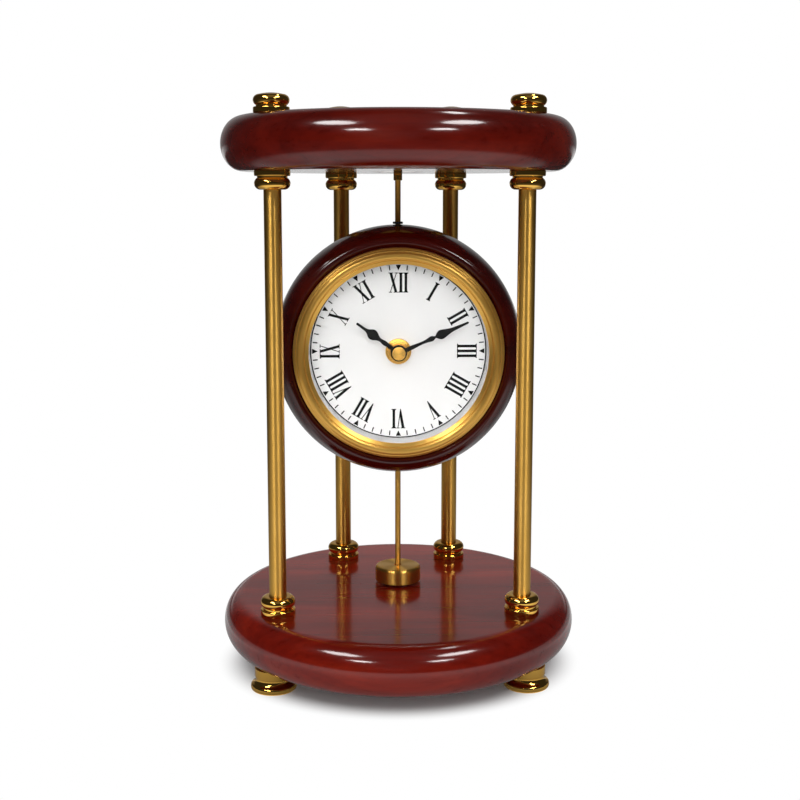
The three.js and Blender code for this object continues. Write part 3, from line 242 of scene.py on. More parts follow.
class Finish:
    """A material built around one Principled shader."""

    def __init__(self, name, **sockets):
        self.material = bpy.data.materials.new(name)
        self.material.use_nodes = True
        self.nodes = self.material.node_tree.nodes
        self.links = self.material.node_tree.links
        self.shader = self.nodes["Principled BSDF"]
        for socket, value in sockets.items():
            self.shader.inputs[socket.replace("_", " ")].default_value = value

    def to(self, socket, output):
        self.links.new(output, self.shader.inputs[socket])

    def node(self, kind, inputs=None, **settings):
        node = self.nodes.new(kind)
        for key, value in settings.items():
            setattr(node, key, value)
        for key, value in (inputs or {}).items():
            if isinstance(value, bpy.types.NodeSocket):
                self.links.new(value, node.inputs[key])
            else:
                node.inputs[key].default_value = value
        return node

    def coords(self, scale, offset=(0, 0, 0), turn=(0, 0, 0)):
        place = self.node("ShaderNodeTexCoord").outputs["Object"]
        inputs = {"Vector": place, "Scale": scale, "Location": offset, "Rotation": turn}
        return self.node("ShaderNodeMapping", inputs).outputs["Vector"]

    def noise(self, vector, scale=1.0, detail=4.0, roughness=0.5, distortion=0.0):
        inputs = {"Vector": vector, "Scale": scale, "Detail": detail, "Roughness": roughness,
                  "Distortion": distortion}
        return self.node("ShaderNodeTexNoise", inputs).outputs["Fac"]

    def ramp(self, value, *stops):
        node = self.node("ShaderNodeValToRGB", {"Fac": value})
        elements = node.color_ramp.elements
        while len(elements) < len(stops):
            elements.new(0.5)
        for element, (place, colour) in zip(elements, stops):
            element.position = place
            element.color = (*colour, 1) if isinstance(colour, tuple) else (colour, colour, colour, 1)
        return node.outputs["Color"]

    def blend(self, mode, factor, a, b):
        node = self.node("ShaderNodeMix", data_type="RGBA", blend_type=mode)
        sockets = {0: factor, 6: a, 7: b}
        for index, value in sockets.items():
            if isinstance(value, bpy.types.NodeSocket):
                self.links.new(value, node.inputs[index])
            else:
                node.inputs[index].default_value = value
        return node.outputs[2]

    def spread(self, value, low, high, start=0.3, end=0.7):
        inputs = {"Value": value, "From Min": start, "From Max": end, "To Min": low, "To Max": high}
        return self.node("ShaderNodeMapRange", inputs).outputs["Result"]

    def bump(self, height, strength, distance, socket="Normal"):
        inputs = {"Height": height, "Strength": strength, "Distance": distance * MM}
        self.to(socket, self.node("ShaderNodeBump", inputs).outputs["Normal"])


MAHOGANY = (
    (0.28, (0.076, 0.0020, 0.0006)),
    (0.45, (0.104, 0.0034, 0.0009)),
    (0.57, (0.134, 0.0052, 0.0014)),
    (0.76, (0.190, 0.0110, 0.0030)),
)
BRASS_DEEP = (0.84, 0.47, 0.092)
BRASS_MID = (0.87, 0.49, 0.098)
BRASS_LIGHT = (0.93, 0.54, 0.118)
CLOUD = (60, 60, 60)


def wood(name, offset, turn, tone):
    """Red mahogany under a thick clear lacquer, its grain along X before the turn; tone scales its colour,
    lighter as painted light and darker as painted shade.
    """
    f = Finish(name, Specular_IOR_Level=0.03, Coat_Weight=1.0, Coat_Roughness=0.12, Coat_IOR=1.5)
    figure = f.noise(f.coords((8, 42, 42), offset, turn), detail=4, roughness=0.5, distortion=0.5)
    stripe = f.noise(f.coords((14, 420, 420), offset, turn), detail=3, roughness=0.55)
    pores = f.noise(f.coords((210, 3400, 3400), offset, turn), detail=1)
    ground = f.ramp(figure, *((place, tuple(c * tone for c in colour)) for place, colour in MAHOGANY))
    lines = f.ramp(stripe, (0.30, 0.78), (0.62, 1.0))
    colour = f.blend("MULTIPLY", 1.0, ground, lines)
    dots = f.ramp(pores, (0.28, 0.88), (0.38, 1.0))
    f.to("Base Color", f.blend("MULTIPLY", 1.0, colour, dots))
    f.to("Roughness", f.spread(stripe, 0.26, 0.36))
    f.bump(pores, 0.06, 0.03)
    f.bump(f.noise(f.coords(CLOUD, offset), detail=2), 0.02, 0.3, "Coat Normal")
    return f.material


def brass(name, lines):
    """Polished, lacquered brass; lines gives the scale of the fine tool marks on each axis."""
    f = Finish(name, Metallic=1.0)
    cloud = f.noise(f.coords(CLOUD), detail=4)
    marks = f.noise(f.coords(lines), detail=3, roughness=0.65)
    f.to("Base Color", f.ramp(cloud, (0.3, BRASS_DEEP), (0.7, BRASS_LIGHT)))
    f.to("Roughness", f.spread(marks, 0.05, 0.12))
    f.bump(marks, 0.05, 0.01)
    return f.material


def lined_brass(name, axis, stretch, gloss, metal=1.0):
    """Brass polished round and round, so that its fine lines stretch each highlight along the axis."""
    f = Finish(name, Metallic=metal, Anisotropic=stretch, Anisotropic_Rotation=0.25)
    cloud = f.noise(f.coords(CLOUD), detail=4)
    f.to("Base Color", f.ramp(cloud, (0.3, BRASS_MID), (0.7, BRASS_LIGHT)))
    f.to("Roughness", f.spread(cloud, *gloss))
    f.to("Tangent", f.node("ShaderNodeTangent", direction_type="RADIAL", axis=axis).outputs["Tangent"])
    return f.material


def plain(name, dark, light, roughness, scale, metallic=0.0, strength=0.15, distance=0.05, shine=0.5):
    """A material with a slight play of colour, gloss and surface."""
    f = Finish(name, Metallic=metallic, Specular_IOR_Level=shine)
    cloud = f.noise(f.coords((scale, scale, scale)), detail=5, roughness=0.6)
    grit = f.noise(f.coords((scale * 9, scale * 9, scale * 9)), detail=2)
    f.to("Base Color", f.ramp(cloud, (0.3, dark), (0.7, light)))
    f.to("Roughness", f.spread(grit, roughness * 0.85, roughness * 1.15))
    f.bump(grit, strength, distance)
    return f.material


def clear_glass():
    f = Finish("clear_glass", Transmission_Weight=1.0, IOR=1.45, Base_Color=(1, 1, 1, 1))
    film = f.noise(f.coords((40, 40, 40)), detail=3)
    f.to("Roughness", f.spread(film, 0.0, 0.012))
    return f.material


# Lit and shaded copies of one mahogany: the tone paints the base board lighter, as painted light on its
# shaded flat, and the head darker, as painted shade under the top board.
WOOD_BASE_PAINTED_LIGHT = wood("wood_base_painted_light", (0.31, 0.12, 0.05), (0, 0, math.radians(4)), 1.60)
WOOD_TOP = wood("wood_top", (0.74, 0.41, 0.27), (0, 0, math.radians(-5)), 1.05)
WOOD_HEAD_PAINTED_SHADE = wood("wood_head_painted_shade", (0.15, 0.66, 0.49), (0, math.radians(7), 0), 0.45)
BRASS_TURNED = brass("brass_turned", (30, 30, 3600))
BRASS_DRAWN = lined_brass("brass_drawn", "Z", 0.95, (0.36, 0.39))
BRASS_BEZEL = lined_brass("brass_bezel", "Y", 0.45, (0.31, 0.36), 0.82)
BRASS_CENTRE = lined_brass("brass_centre", "Y", 0.45, (0.22, 0.28), 0.75)
BRASS_BOB = lined_brass("brass_bob", "Z", 0.93, (0.33, 0.37))
STEEL = plain("steel", (0.42, 0.42, 0.43), (0.56, 0.56, 0.57), 0.32, 120, metallic=1.0)
SILVER = plain("silver_ring", (0.62, 0.62, 0.62), (0.70, 0.70, 0.70), 0.4, 90, shine=0.2)
GLASS = clear_glass()
DIAL = plain("dial_white", (0.852, 0.852, 0.843), (0.868, 0.868, 0.860), 0.5, 60,
             strength=0.05, distance=0.02, shine=0.2)
INK = plain("dial_ink", (0.004, 0.004, 0.004), (0.008, 0.008, 0.008), 0.55, 400, shine=0.05)
BLACK = plain("hand_black", (0.006, 0.006, 0.006), (0.010, 0.010, 0.010), 0.45, 200, shine=0.08)
PLASTIC = plain("black_plastic", (0.012, 0.012, 0.013), (0.026, 0.026, 0.027), 0.5, 260, strength=0.3)
NYLON = plain("nylon", (0.70, 0.68, 0.61), (0.79, 0.77, 0.71), 0.45, 150)
COPPER = plain("copper_wire", (0.52, 0.20, 0.10), (0.70, 0.30, 0.16), 0.35, 300, metallic=1.0, strength=0.4)
CIRCUIT = plain("circuit", (0.018, 0.10, 0.035), (0.035, 0.17, 0.06), 0.5, 200)
SLEEVE = plain("battery_sleeve", (0.020, 0.026, 0.034), (0.034, 0.042, 0.052), 0.34, 110)
RUBBER = plain("washer_rubber", (0.010, 0.010, 0.010), (0.020, 0.020, 0.020), 0.6, 300, strength=0.3)


def dress(obj, body, material, slot, *nodes):
    """Give a piece its finish and its body, and hide the solids it stands for."""
    obj.data.materials.clear()
    obj.data.materials.append(material)
    if not obj.modifiers:
        obj.modifiers.new("flats", "WEIGHTED_NORMAL").keep_sharp = True
    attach(obj, body)
    if nodes:
        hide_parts(*nodes)
    return obj


# Boards


def board(name, radius, bottom, top):
    half = (top - bottom) / 2
    flat = radius - BULLNOSE_DEPTH
    edge = arc((flat, bottom + half), (BULLNOSE_DEPTH, half), -90, 90, 40)
    inner = [(0, bottom), (flat * 0.5, bottom)]
    outer = [(flat * 0.5, top), (0, top)]
    return lathe(name, inner + edge + outer, (0, 0, 0), segments=192)


dress(board("base", BASE_RADIUS, BASE_BOTTOM, BASE_TOP), "stand", WOOD_BASE_PAINTED_LIGHT, "lacquered_wood", "base_board")

top = board("top", TOP_RADIUS, TOP_BOTTOM, TOP_TOP)
recess = lathe("recess", rounded([(0, -3), (13.4, -3), (13.4, 2.7), (7.0, 2.7), (7.0, 14.3), (0, 14.3)]),
               (0, PENDULUM_Y, TOP_BOTTOM), segments=64)
carve(top, recess)
dress(top, "stand", WOOD_TOP, "lacquered_wood", "top_board")


# Turned fittings of the stand


FLANGE_RADIUS, BEAD_RADIUS = 8.9, 8.9
FLANGE_HEIGHT, NECK_HEIGHT = 2.8, 0.4
NECK_RADIUS = 7.5
BEAD_HEIGHT, FINIAL_BEAD_HEIGHT, FINIAL_CROWN = 6.2, 5.6, 0.8
COLLAR_BORE, COLLAR_MOUTH = 4.6, 4.75
COLUMN_BORE, COLUMN_RADIUS = 2.8, 4.4


def collar_outline(bead_height):
    """A flange on the board, a narrow neck and a bead, as two stretches of outline."""
    half = bead_height / 2
    neck_top = FLANGE_HEIGHT + NECK_HEIGHT
    flange = [(FLANGE_RADIUS, 0.0, 0.3), (FLANGE_RADIUS, FLANGE_HEIGHT, 0.8),
              (NECK_RADIUS, FLANGE_HEIGHT, 0.1), (NECK_RADIUS, neck_top + 0.1)]
    bead = arc((BEAD_RADIUS - half, neck_top + half), (half, half), -58, 84, 16)
    return flange, bead


for corner, (x, y) in COLUMNS.items():
    flange, bead = collar_outline(BEAD_HEIGHT)
    rim = FLANGE_HEIGHT + NECK_HEIGHT + BEAD_HEIGHT
    mouth = rounded([bead[-1], (COLLAR_MOUTH, rim, 0.2), (COLLAR_BORE, rim - 0.3)])[1:]
    ring = rounded([(COLLAR_BORE, 0.0)] + flange) + bead + mouth
    lower = lathe(f"lower_collar.{corner}", ring, (x, y, BASE_TOP), segments=72, loop=True)
    dress(lower, "stand", BRASS_TURNED, "polished_brass", f"lower_collar_{corner}")
    flipped = [(r, -h) for r, h in ring]
    upper = lathe(f"upper_collar.{corner}", flipped, (x, y, TOP_BOTTOM), segments=72, loop=True)
    dress(upper, "stand", BRASS_TURNED, "polished_brass", f"upper_collar_{corner}")

    low, high = (end.z for end in node_box(f"column_{corner}"))
    tube = rounded([(COLUMN_BORE, low, 0.2), (COLUMN_RADIUS, low, 0.3),
                    (COLUMN_RADIUS, high, 0.3), (COLUMN_BORE, high, 0.2)], loop=True)
    column = lathe(f"column.{corner}", tube, (x, y, 0), segments=64, loop=True)
    dress(column, "stand", BRASS_DRAWN, "polished_brass", f"column_{corner}")

    flange, bead = collar_outline(FINIAL_BEAD_HEIGHT)
    rim = FLANGE_HEIGHT + NECK_HEIGHT + FINIAL_BEAD_HEIGHT
    crown = [(4.4, rim + 0.36), (2.2, rim + 0.68), (0, rim + FINIAL_CROWN)]
    outline = [(0, 0)] + rounded([(2.8, 0.0)] + flange) + bead + spline([bead[-1]] + crown, 4)[1:]
    finial = lathe(f"finial.{corner}", outline, (x, y, TOP_TOP), segments=72)
    dress(finial, "stand", BRASS_TURNED, "polished_brass", f"finial_nut_{corner}")

for corner, (x, y) in FEET.items():
    rim = arc((11.0, 1.6), (0.8, 1.6), -84, 78, 12)
    cove = arc((11.2, 6.7), (2.3, 3.3), 250, 182, 10)
    drum = [(9.1, 6.7), (9.7, 6.8, 0.35), (9.7, BASE_BOTTOM - 0.4, 0.4), (8.8, BASE_BOTTOM, 0.1),
            (2.5, BASE_BOTTOM), (2.5, BASE_BOTTOM + 8.8)]
    foot_outline = [(0, 0), (10.2, 0)] + rim + cove + rounded(drum) + [(0, BASE_BOTTOM + 9)]
    foot = lathe(f"foot.{corner}", foot_outline, (x, y, 0), segments=72)
    dress(foot, "stand", BRASS_TURNED, "polished_brass", f"foot_{corner}")


# Suspension


SCREW_PLACES = {"left": -9.9, "right": 9.9}
SCREW_TURNS = {"left": 0.4, "right": 2.1}
SHANK_HALF, SHANK_DROP, SHANK_MEET = 2.3, 7.4, 1.93
EYE_RADIUS, EYE_HOLE = 3.0, 1.25

clevis_outline = rounded([(0, 0.05), (13.1, 0.05, 0.3), (13.1, 2.4, 0.2), (6.7, 2.4),
                          (6.7, 14.0, 0.3), (0, 14.0)])
clevis = lathe("clevis", clevis_outline, (0, PENDULUM_Y, TOP_BOTTOM), segments=72)
slot_low = (-3.64, PENDULUM_Y - 1.8, TOP_BOTTOM - 1)
slot_high = (3.64, PENDULUM_Y + 1.8, TOP_BOTTOM + 9.6)
slot_cut = box("slot_cut", slot_low, slot_high)
pin_cut = lathe("pin_cut", [(0, -8), (1.3, -8), (1.3, 8), (0, 8)], (0, PENDULUM_Y, PIVOT_Z), "Y", 32)
sinks = [
    lathe(f"sink_{side}", [(0, -1), (2.6, -1), (2.6, 0.05), (1.5, 1.15), (1.5, 4), (0, 4)],
          (place, PENDULUM_Y, TOP_BOTTOM), segments=40)
    for side, place in SCREW_PLACES.items()
]
carve(clevis, slot_cut, pin_cut, *sinks)
dress(clevis, "stand", BRASS_TURNED, "polished_brass", "suspension_clevis")

for side, place in SCREW_PLACES.items():
    screw_outline = rounded([(0, 0.12), (2.3, 0.12, 0.15), (1.2, 1.2), (1.2, 12.6), (0, 13.0)])
    screw = lathe(f"clevis_screw.{side}", screw_outline, (place, PENDULUM_Y, TOP_BOTTOM), segments=48)
    groove = box("groove", (-3, -0.28, -1), (3, 0.28, 0.62))
    groove.matrix_world = (Matrix.Translation(Vector((place, PENDULUM_Y, TOP_BOTTOM)) * MM)
                           @ Matrix.Rotation(SCREW_TURNS[side], 4, "Z"))
    bpy.context.view_layer.update()
    carve(screw, groove)
    dress(screw, "stand", BRASS_TURNED, "polished_brass", f"clevis_screw_{side}")

sleeve_outline = rounded([(1.56, -4.4, 0.1), (2.3, -4.4, 0.25), (2.3, -1.0, 0.3), (0.8, -1.0), (0.8, -1.5),
                          (1.56, -1.5)], loop=True)
sleeve = lathe("eye_sleeve", sleeve_outline, (0, PENDULUM_Y, TOP_BOTTOM), segments=48, loop=True)
dress(sleeve, "pendulum", BRASS_TURNED, "polished_brass", "suspension_eye")
rise = PIVOT_Z - HEAD_Z
shank_foot = rise - SHANK_DROP
shank_rim = [(-SHANK_HALF, shank_foot), (SHANK_HALF, shank_foot), (SHANK_HALF, rise - SHANK_MEET)]
shank_rim += arc((0, rise), (EYE_RADIUS, EYE_RADIUS), -40, 220, 32)
shank_rim += [(-SHANK_HALF, rise - SHANK_MEET)]
shank_hole = arc((0, rise), (EYE_HOLE, EYE_HOLE), 0, 345, 23)
shank = slab("eye_shank", [[shank_rim, shank_hole]], -1.5, 1.5, bevel=0.2)
dress(shank, "pendulum", BRASS_TURNED, "polished_brass")


# Pendulum rods, washer and bob


ROD_RADIUS = 1.5

for name, node in (("rod.upper", "upper_rod"), ("rod.lower", "lower_rod")):
    low, high = (end.z for end in node_box(node))
    outline = rounded([(0, low), (ROD_RADIUS, low, 0.3), (ROD_RADIUS, high, 0.3), (0, high)])
    rod = lathe(name, outline, (0, PENDULUM_Y, 0), segments=40)
    dress(rod, "pendulum", BRASS_DRAWN, "polished_brass", node)

washer_outline = rounded([(1.55, 0, 0.1), (2.7, 0, 0.3), (2.7, 1.2, 0.4), (1.55, 1.2, 0.2)], loop=True)
washer_low = node_box("rod_washer")[0].z
washer = lathe("washer", washer_outline, (0, PENDULUM_Y, washer_low), segments=48, loop=True)
dress(washer, "pendulum", RUBBER, "washer_rubber", "rod_washer")

bob_outline = rounded([(0, 0), (12.4, 0, 0.6), (12.4, 8.4, 2.0), (2.0, 8.4, 0.15), (1.9, 7.4), (0, 7.4)],
                      steps=8)
bob = lathe("bob", bob_outline, (0, PENDULUM_Y, node_box("bob")[0].z), segments=96)
dress(bob, "pendulum", BRASS_BOB, "polished_brass", "bob")


# Clock head


ridge = arc((58.2, 0), (8.4, 21), -90, 0, 30)
back = arc((56.2, 0), (10.4, 21), 0, 90, 24)[1:]
case_outline = rounded([(4.2, -9.6), (51.5, -9.6), (51.5, -20.5, 0.2), (55.6, -20.5), (55.9, -19.7, 0.2)])
case_outline += spline([(55.95, -19.72), (56.4, -20.30), (57.2, -20.80), ridge[0]], 5)[:-1] + ridge + back
case_outline += rounded([back[-1], (42.0, 21.0, 0.9), (42.0, -4.6, 0.8), (4.2, -4.6)])[1:]
case = lathe("case", case_outline, HEAD, "Y", 192, loop=True)
sockets = [
    lathe(f"socket_{end}", [(0, 58.6), (1.62, 58.6), (1.62, 70), (0, 70)], HEAD, segments=40)
    for end in ("upper", "lower")
]
for vert in sockets[1].data.vertices:
    vert.co.z = 2 * HEAD_Z * MM - vert.co.z
sockets[1].data.flip_normals()
carve(case, *sockets)
dress(case, "pendulum", WOOD_HEAD_PAINTED_SHADE, "lacquered_wood", "head_case")

bezel_outline = rounded([
    (46.9, -25.0, 0.1), (46.9, -25.85, 0.25), (48.8, -26.95, 0.15), (49.25, -26.6, 0.1),
    (49.55, -26.75, 0.1)])
bezel_outline += arc((51.15, -26.7), (1.6, 0.9), -178, -4, 18)
bezel_outline += rounded([
    (52.75, -26.3, 0.1), (53.05, -26.1, 0.1), (53.25, -25.2, 0.25), (53.95, -25.1, 0.3),
    (54.35, -23.9, 0.2), (54.85, -23.6, 0.3), (55.3, -22.8, 0.2), (55.3, -20.5, 0.2),
    (51.2, -20.5), (51.2, -16.0, 0.15), (50.6, -16.0, 0.15), (50.6, -25.0)])
bezel = lathe("bezel_ring", bezel_outline, HEAD, "Y", 192, loop=True)
dress(bezel, "pendulum", BRASS_BEZEL, "polished_brass", "bezel")

pane_outline = [(0, -24.7), (50.3, -24.7), (50.3, -22.7), (0, -22.7)]
pane = lathe("pane", pane_outline, HEAD, "Y", 128)
dress(pane, "pendulum", GLASS, "clear_glass", "glass")
pane.visible_shadow = False

ring_outline = rounded([(46.85, -11.0), (47.3, -22.4, 0.4), (50.3, -22.4, 0.2), (50.3, -11.0)], loop=True)
rehaut = lathe("rehaut", ring_outline, HEAD, "Y", 160, loop=True)
dress(rehaut, "pendulum", SILVER, "silver_ring", "dial_ring")

dial_outline = [(4.2, -10.7), (51.2, -10.7), (51.2, -9.9), (4.2, -9.9)]
dial = lathe("dial_plate", dial_outline, HEAD, "Y", 160, loop=True)
dress(dial, "pendulum", DIAL, "dial_white", "dial")


# Print on the dial


TALL = 10.55
SERIF = 0.42
INK_FRONT, INK_REAR = -10.78, -10.68
NUMERAL_RADIUS = 31.15
MARK_HALF, MARK_INNER, MARK_OUTER = 0.30, 43.1, 45.65
HOUR_MARK_HALF, HOUR_MARK_TIP, HOUR_MARK_BASE = 1.4, 42.8, 45.75
LINE_INNER, LINE_OUTER = 46.2, 46.8


def crossing(a, b, c, d):
    """Where the line through a and b meets the line through c and d."""
    a, b, c, d = Vector(a), Vector(b), Vector(c), Vector(d)
    along, other = b - a, d - c
    t = (c - a).cross(other) / along.cross(other)
    return tuple(a + along * t)


def glyph_i():
    low, high = SERIF, TALL - SERIF
    right = [(1.28, 0), (1.28, low), (0.95, low + 0.08), (0.70, low + 0.55),
             (0.70, high - 0.55), (0.95, high - 0.08), (1.28, high), (1.28, TALL)]
    return right + [(-x, z) for x, z in reversed(right)]


def glyph_v():
    high = TALL - SERIF
    notch = crossing((-0.55, high), (1.30, 0), (1.30, high), (-0.10, 0))
    return [(-0.10, 0), (0.35, 0), (1.72, high), (2.30, high), (2.30, TALL), (0.72, TALL), (0.72, high),
            (1.27, high), notch, (-0.50, high), (0.05, high), (0.05, TALL), (-2.45, TALL), (-2.45, high),
            (-1.98, high)]


def glyph_x():
    low, high = SERIF, TALL - SERIF
    thick_left = ((-2.05, high), (0.62, low))
    thick_right = ((-0.62, high), (2.05, low))
    thin_left = ((-1.75, low), (1.32, high))
    thin_right = ((-1.32, low), (1.75, high))
    return [
        (-2.40, 0), (-0.65, 0), (-0.65, low), thin_right[0],
        crossing(*thin_right, *thick_left), thick_left[1], (0.08, low), (0.08, 0),
        (2.62, 0), (2.62, low), thick_right[1], crossing(*thick_right, *thin_right), thin_right[1],
        (2.40, high), (2.40, TALL), (0.65, TALL), (0.65, high), thin_left[1],
        crossing(*thin_left, *thick_right), thick_right[0], (-0.08, high), (-0.08, TALL),
        (-2.62, TALL), (-2.62, high), thick_left[0], crossing(*thick_left, *thin_left),
        thin_left[0], (-2.40, low),
    ]


GLYPHS = {"I": (glyph_i(), 2.62), "V": (glyph_v(), 4.85), "X": (glyph_x(), 5.30)}
NUMERALS = ["XII", "I", "II", "III", "IIII", "V", "VI", "VII", "VIII", "IX", "X", "XI"]


def turned(points, angle, radius=0.0):
    """Points of an upright shape, put at radius and turned clockwise about the dial's middle."""
    c, s = math.cos(angle), math.sin(angle)
    return [(x * c + (z + radius) * s, (z + radius) * c - x * s) for x, z in points]


letters = []
for hour, numeral in enumerate(NUMERALS):
    place = -sum(GLYPHS[letter][1] for letter in numeral) / 2
    for letter in numeral:
        points, width = GLYPHS[letter]
        moved = [(x + place + width / 2, z) for x, z in points]
        letters.append([turned(moved, math.tau * hour / 12, NUMERAL_RADIUS)])
        place += width
dress(slab("numerals", letters, INK_FRONT, INK_REAR), "pendulum", INK, "hand_black")

marks = []
for minute in range(60):
    mark = [(-MARK_HALF, MARK_INNER), (MARK_HALF, MARK_INNER),
            (MARK_HALF, MARK_OUTER), (-MARK_HALF, MARK_OUTER)]
    if minute % 5 == 0:
        mark = [(0, HOUR_MARK_TIP), (HOUR_MARK_HALF, HOUR_MARK_BASE), (-HOUR_MARK_HALF, HOUR_MARK_BASE)]
    marks.append([turned(mark, math.tau * minute / 60)])
dress(slab("minute_marks", marks, INK_FRONT, INK_REAR), "pendulum", INK, "hand_black")

line_outline = [(LINE_INNER, INK_REAR), (LINE_INNER, INK_FRONT),
                (LINE_OUTER, INK_FRONT), (LINE_OUTER, INK_REAR)]
line = lathe("minute_line", line_outline, HEAD, "Y", 160, loop=True)
dress(line, "pendulum", INK, "hand_black")


# Hands


# Each hand's outline as (place along its length, half width), both as shares of its greatest
HOUR_OUTLINE = [(0.27, 0.4), (0.33, 0.49), (0.43, 0.34), (0.49, 0.49), (0.57, 0.96), (0.65, 1),
                (0.74, 0.42), (0.83, 0.27), (0.985, 0.25)]
MINUTE_OUTLINE = [(0.19, 0.46), (0.31, 0.31), (0.39, 0.36), (0.47, 0.58), (0.51, 0.31), (0.53, 0.29),
                  (0.555, 0.67), (0.59, 1), (0.63, 0.98), (0.74, 0.5), (0.85, 0.33), (0.985, 0.23)]
HUB = 4.3
HAND_THICKNESS, HAND_EDGE = 0.5, 0.08


def hand(name, outline, length, half, bore, front, angle, body, node):
    right = spline([(across * half, along * length) for along, across in outline], 5)
    right.append((0, length))
    left = [(-x, z) for x, z in reversed(right[:-1])]
    leave = math.degrees(math.asin(right[0][0] / HUB))
    hub = arc((0, 0), (HUB, HUB), 90 + leave, 450 - leave, 40)
    rim = turned(right + left + hub, angle)
    hole = turned(arc((0, 0), (bore, bore), 0, 348, 29), angle)
    obj = slab(name, [[rim, hole]], front, front + HAND_THICKNESS, bevel=HAND_EDGE)
    dress(obj, body, BLACK, "hand_black", node)


hand("hand.hour", HOUR_OUTLINE, 27.2, 2.65, 2.9, -18.8, HOUR_TURN, "hour", "hour_hand")
hand("hand.minute", MINUTE_OUTLINE, 40.2, 2.4, 1.7, -20.4, MINUTE_TURN, "minute", "minute_hand")

cap_outline = rounded([(0, -22.2), (3.5, -22.2, 0.35), (3.5, -20.7, 0.1), (1.7, -20.7),
                       (1.7, -21.75), (0, -21.75)])
cap = lathe("cap", cap_outline, HEAD, "Y", 64)
dress(cap, "minute", BRASS_CENTRE, "polished_brass", "hand_cap")

nut_outline = rounded([(4.2, -13.6, 0.15), (5.3, -13.6, 0.25), (5.3, -12.3, 0.15), (6.85, -12.3, 0.5),
                       (6.85, -11.0, 0.1), (4.2, -11.0, 0.1)], loop=True)
nut = lathe("nut", nut_outline, HEAD, "Y", 96, loop=True)
dress(nut, "pendulum", BRASS_CENTRE, "polished_brass", "dial_nut")
bush_outline = rounded([(3.92, -17.95, 0.05), (4.12, -17.95, 0.08), (4.12, -13.0), (3.92, -13.0)],
                       loop=True)
bush = lathe("bush_sleeve", bush_outline, HEAD, "Y", 64, loop=True)
dress(bush, "pendulum", BRASS_CENTRE, "polished_brass")


# Movement at the back


CELL_X = -0.6
SLEEVE_END = 23.4

battery_outline = rounded([
    (0, -24.6), (4.2, -24.6, 0.3), (4.5, -24.2), (6.5, -24.2, 0.1), (7.1, -24.6, 0.3), (7.1, -23.6, 0.1),
    (7.06, -23.2), (7.06, 23.0), (7.1, 23.6, 0.1), (7.1, 24.5, 0.4), (6.2, 24.3, 0.1), (2.7, 24.5, 0.3),
    (2.7, 25.8, 0.35), (0, 25.8)])
cell_low, cell_high = node_box("battery")
cell_middle = (CELL_X, (cell_low.y + cell_high.y) / 2, (cell_low.z + cell_high.z) / 2)
battery = lathe("cell", battery_outline, cell_middle, "X", 72)
dress(battery, "pendulum", SLEEVE, "battery_sleeve", "battery")
battery.data.materials.append(STEEL)
for polygon in battery.data.polygons:
    if abs(polygon.center.x / MM - CELL_X) > SLEEVE_END:
        polygon.material_index = 1

NODE_FINISH = {
    "movement_case": PLASTIC, "movement_cover": PLASTIC, "setting_knob": PLASTIC, "pivot_pin": STEEL,
    "centre_wheel": STEEL, "hour_wheel": NYLON, "minute_wheel": NYLON, "intermediate_wheel": NYLON,
    "motor_rotor": STEEL, "motor_coil": COPPER, "motor_stator": STEEL, "circuit_board": CIRCUIT,
    "battery_contact_positive": STEEL, "battery_contact_negative": STEEL,
    **{f"tie_rod_{corner}": STEEL for corner in CORNERS},
}
for node, finish in NODE_FINISH.items():
    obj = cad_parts[node]
    obj.data.materials.clear()
    obj.data.materials.append(finish)
for node, width in (("movement_case", 0.7), ("movement_cover", 0.7), ("setting_knob", 0.3)):
    soften(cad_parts[node], width)


# Floor, surroundings, light and camera


AMBIENT = 0.16
FLOOR_GREY = (0.70, 0.70, 0.70, 1)
FLOOR_RADIUS = 4.0
SHADOW_SQUEEZE = (0.87, 1, 1)
SHADOW_INNER, SHADOW_OUTER = 0.067, 0.086


def seen(tree):
    """1 for rays from the camera, from gloss and through glass, 0 for the rays that light things."""
    path = tree.nodes.new("ShaderNodeLightPath")
    total = path.outputs["Is Camera Ray"]
    for name in ("Is Glossy Ray", "Is Transmission Ray"):
        add = tree.nodes.new("ShaderNodeMath")
        add.operation = "MAXIMUM"
        tree.links.new(total, add.inputs[0])
        tree.links.new(path.outputs[name], add.inputs[1])
        total = add.outputs[0]
    return total


world = bpy.data.worlds.new("studio")
bpy.context.scene.world = world
world.use_nodes = True
tree = world.node_tree
tree.nodes.clear()
white = tree.nodes.new("ShaderNodeBackground")
white.inputs["Color"].default_value = (1, 1, 1, 1)
white.inputs["Strength"].default_value = 1.0
fill = tree.nodes.new("ShaderNodeBackground")
fill.inputs["Color"].default_value = (1, 0.99, 0.98, 1)
fill.inputs["Strength"].default_value = AMBIENT
mix = tree.nodes.new("ShaderNodeMixShader")
tree.links.new(seen(tree), mix.inputs[0])
tree.links.new(fill.outputs[0], mix.inputs[1])
tree.links.new(white.outputs[0], mix.inputs[2])
tree.links.new(mix.outputs[0], tree.nodes.new("ShaderNodeOutputWorld").inputs["Surface"])

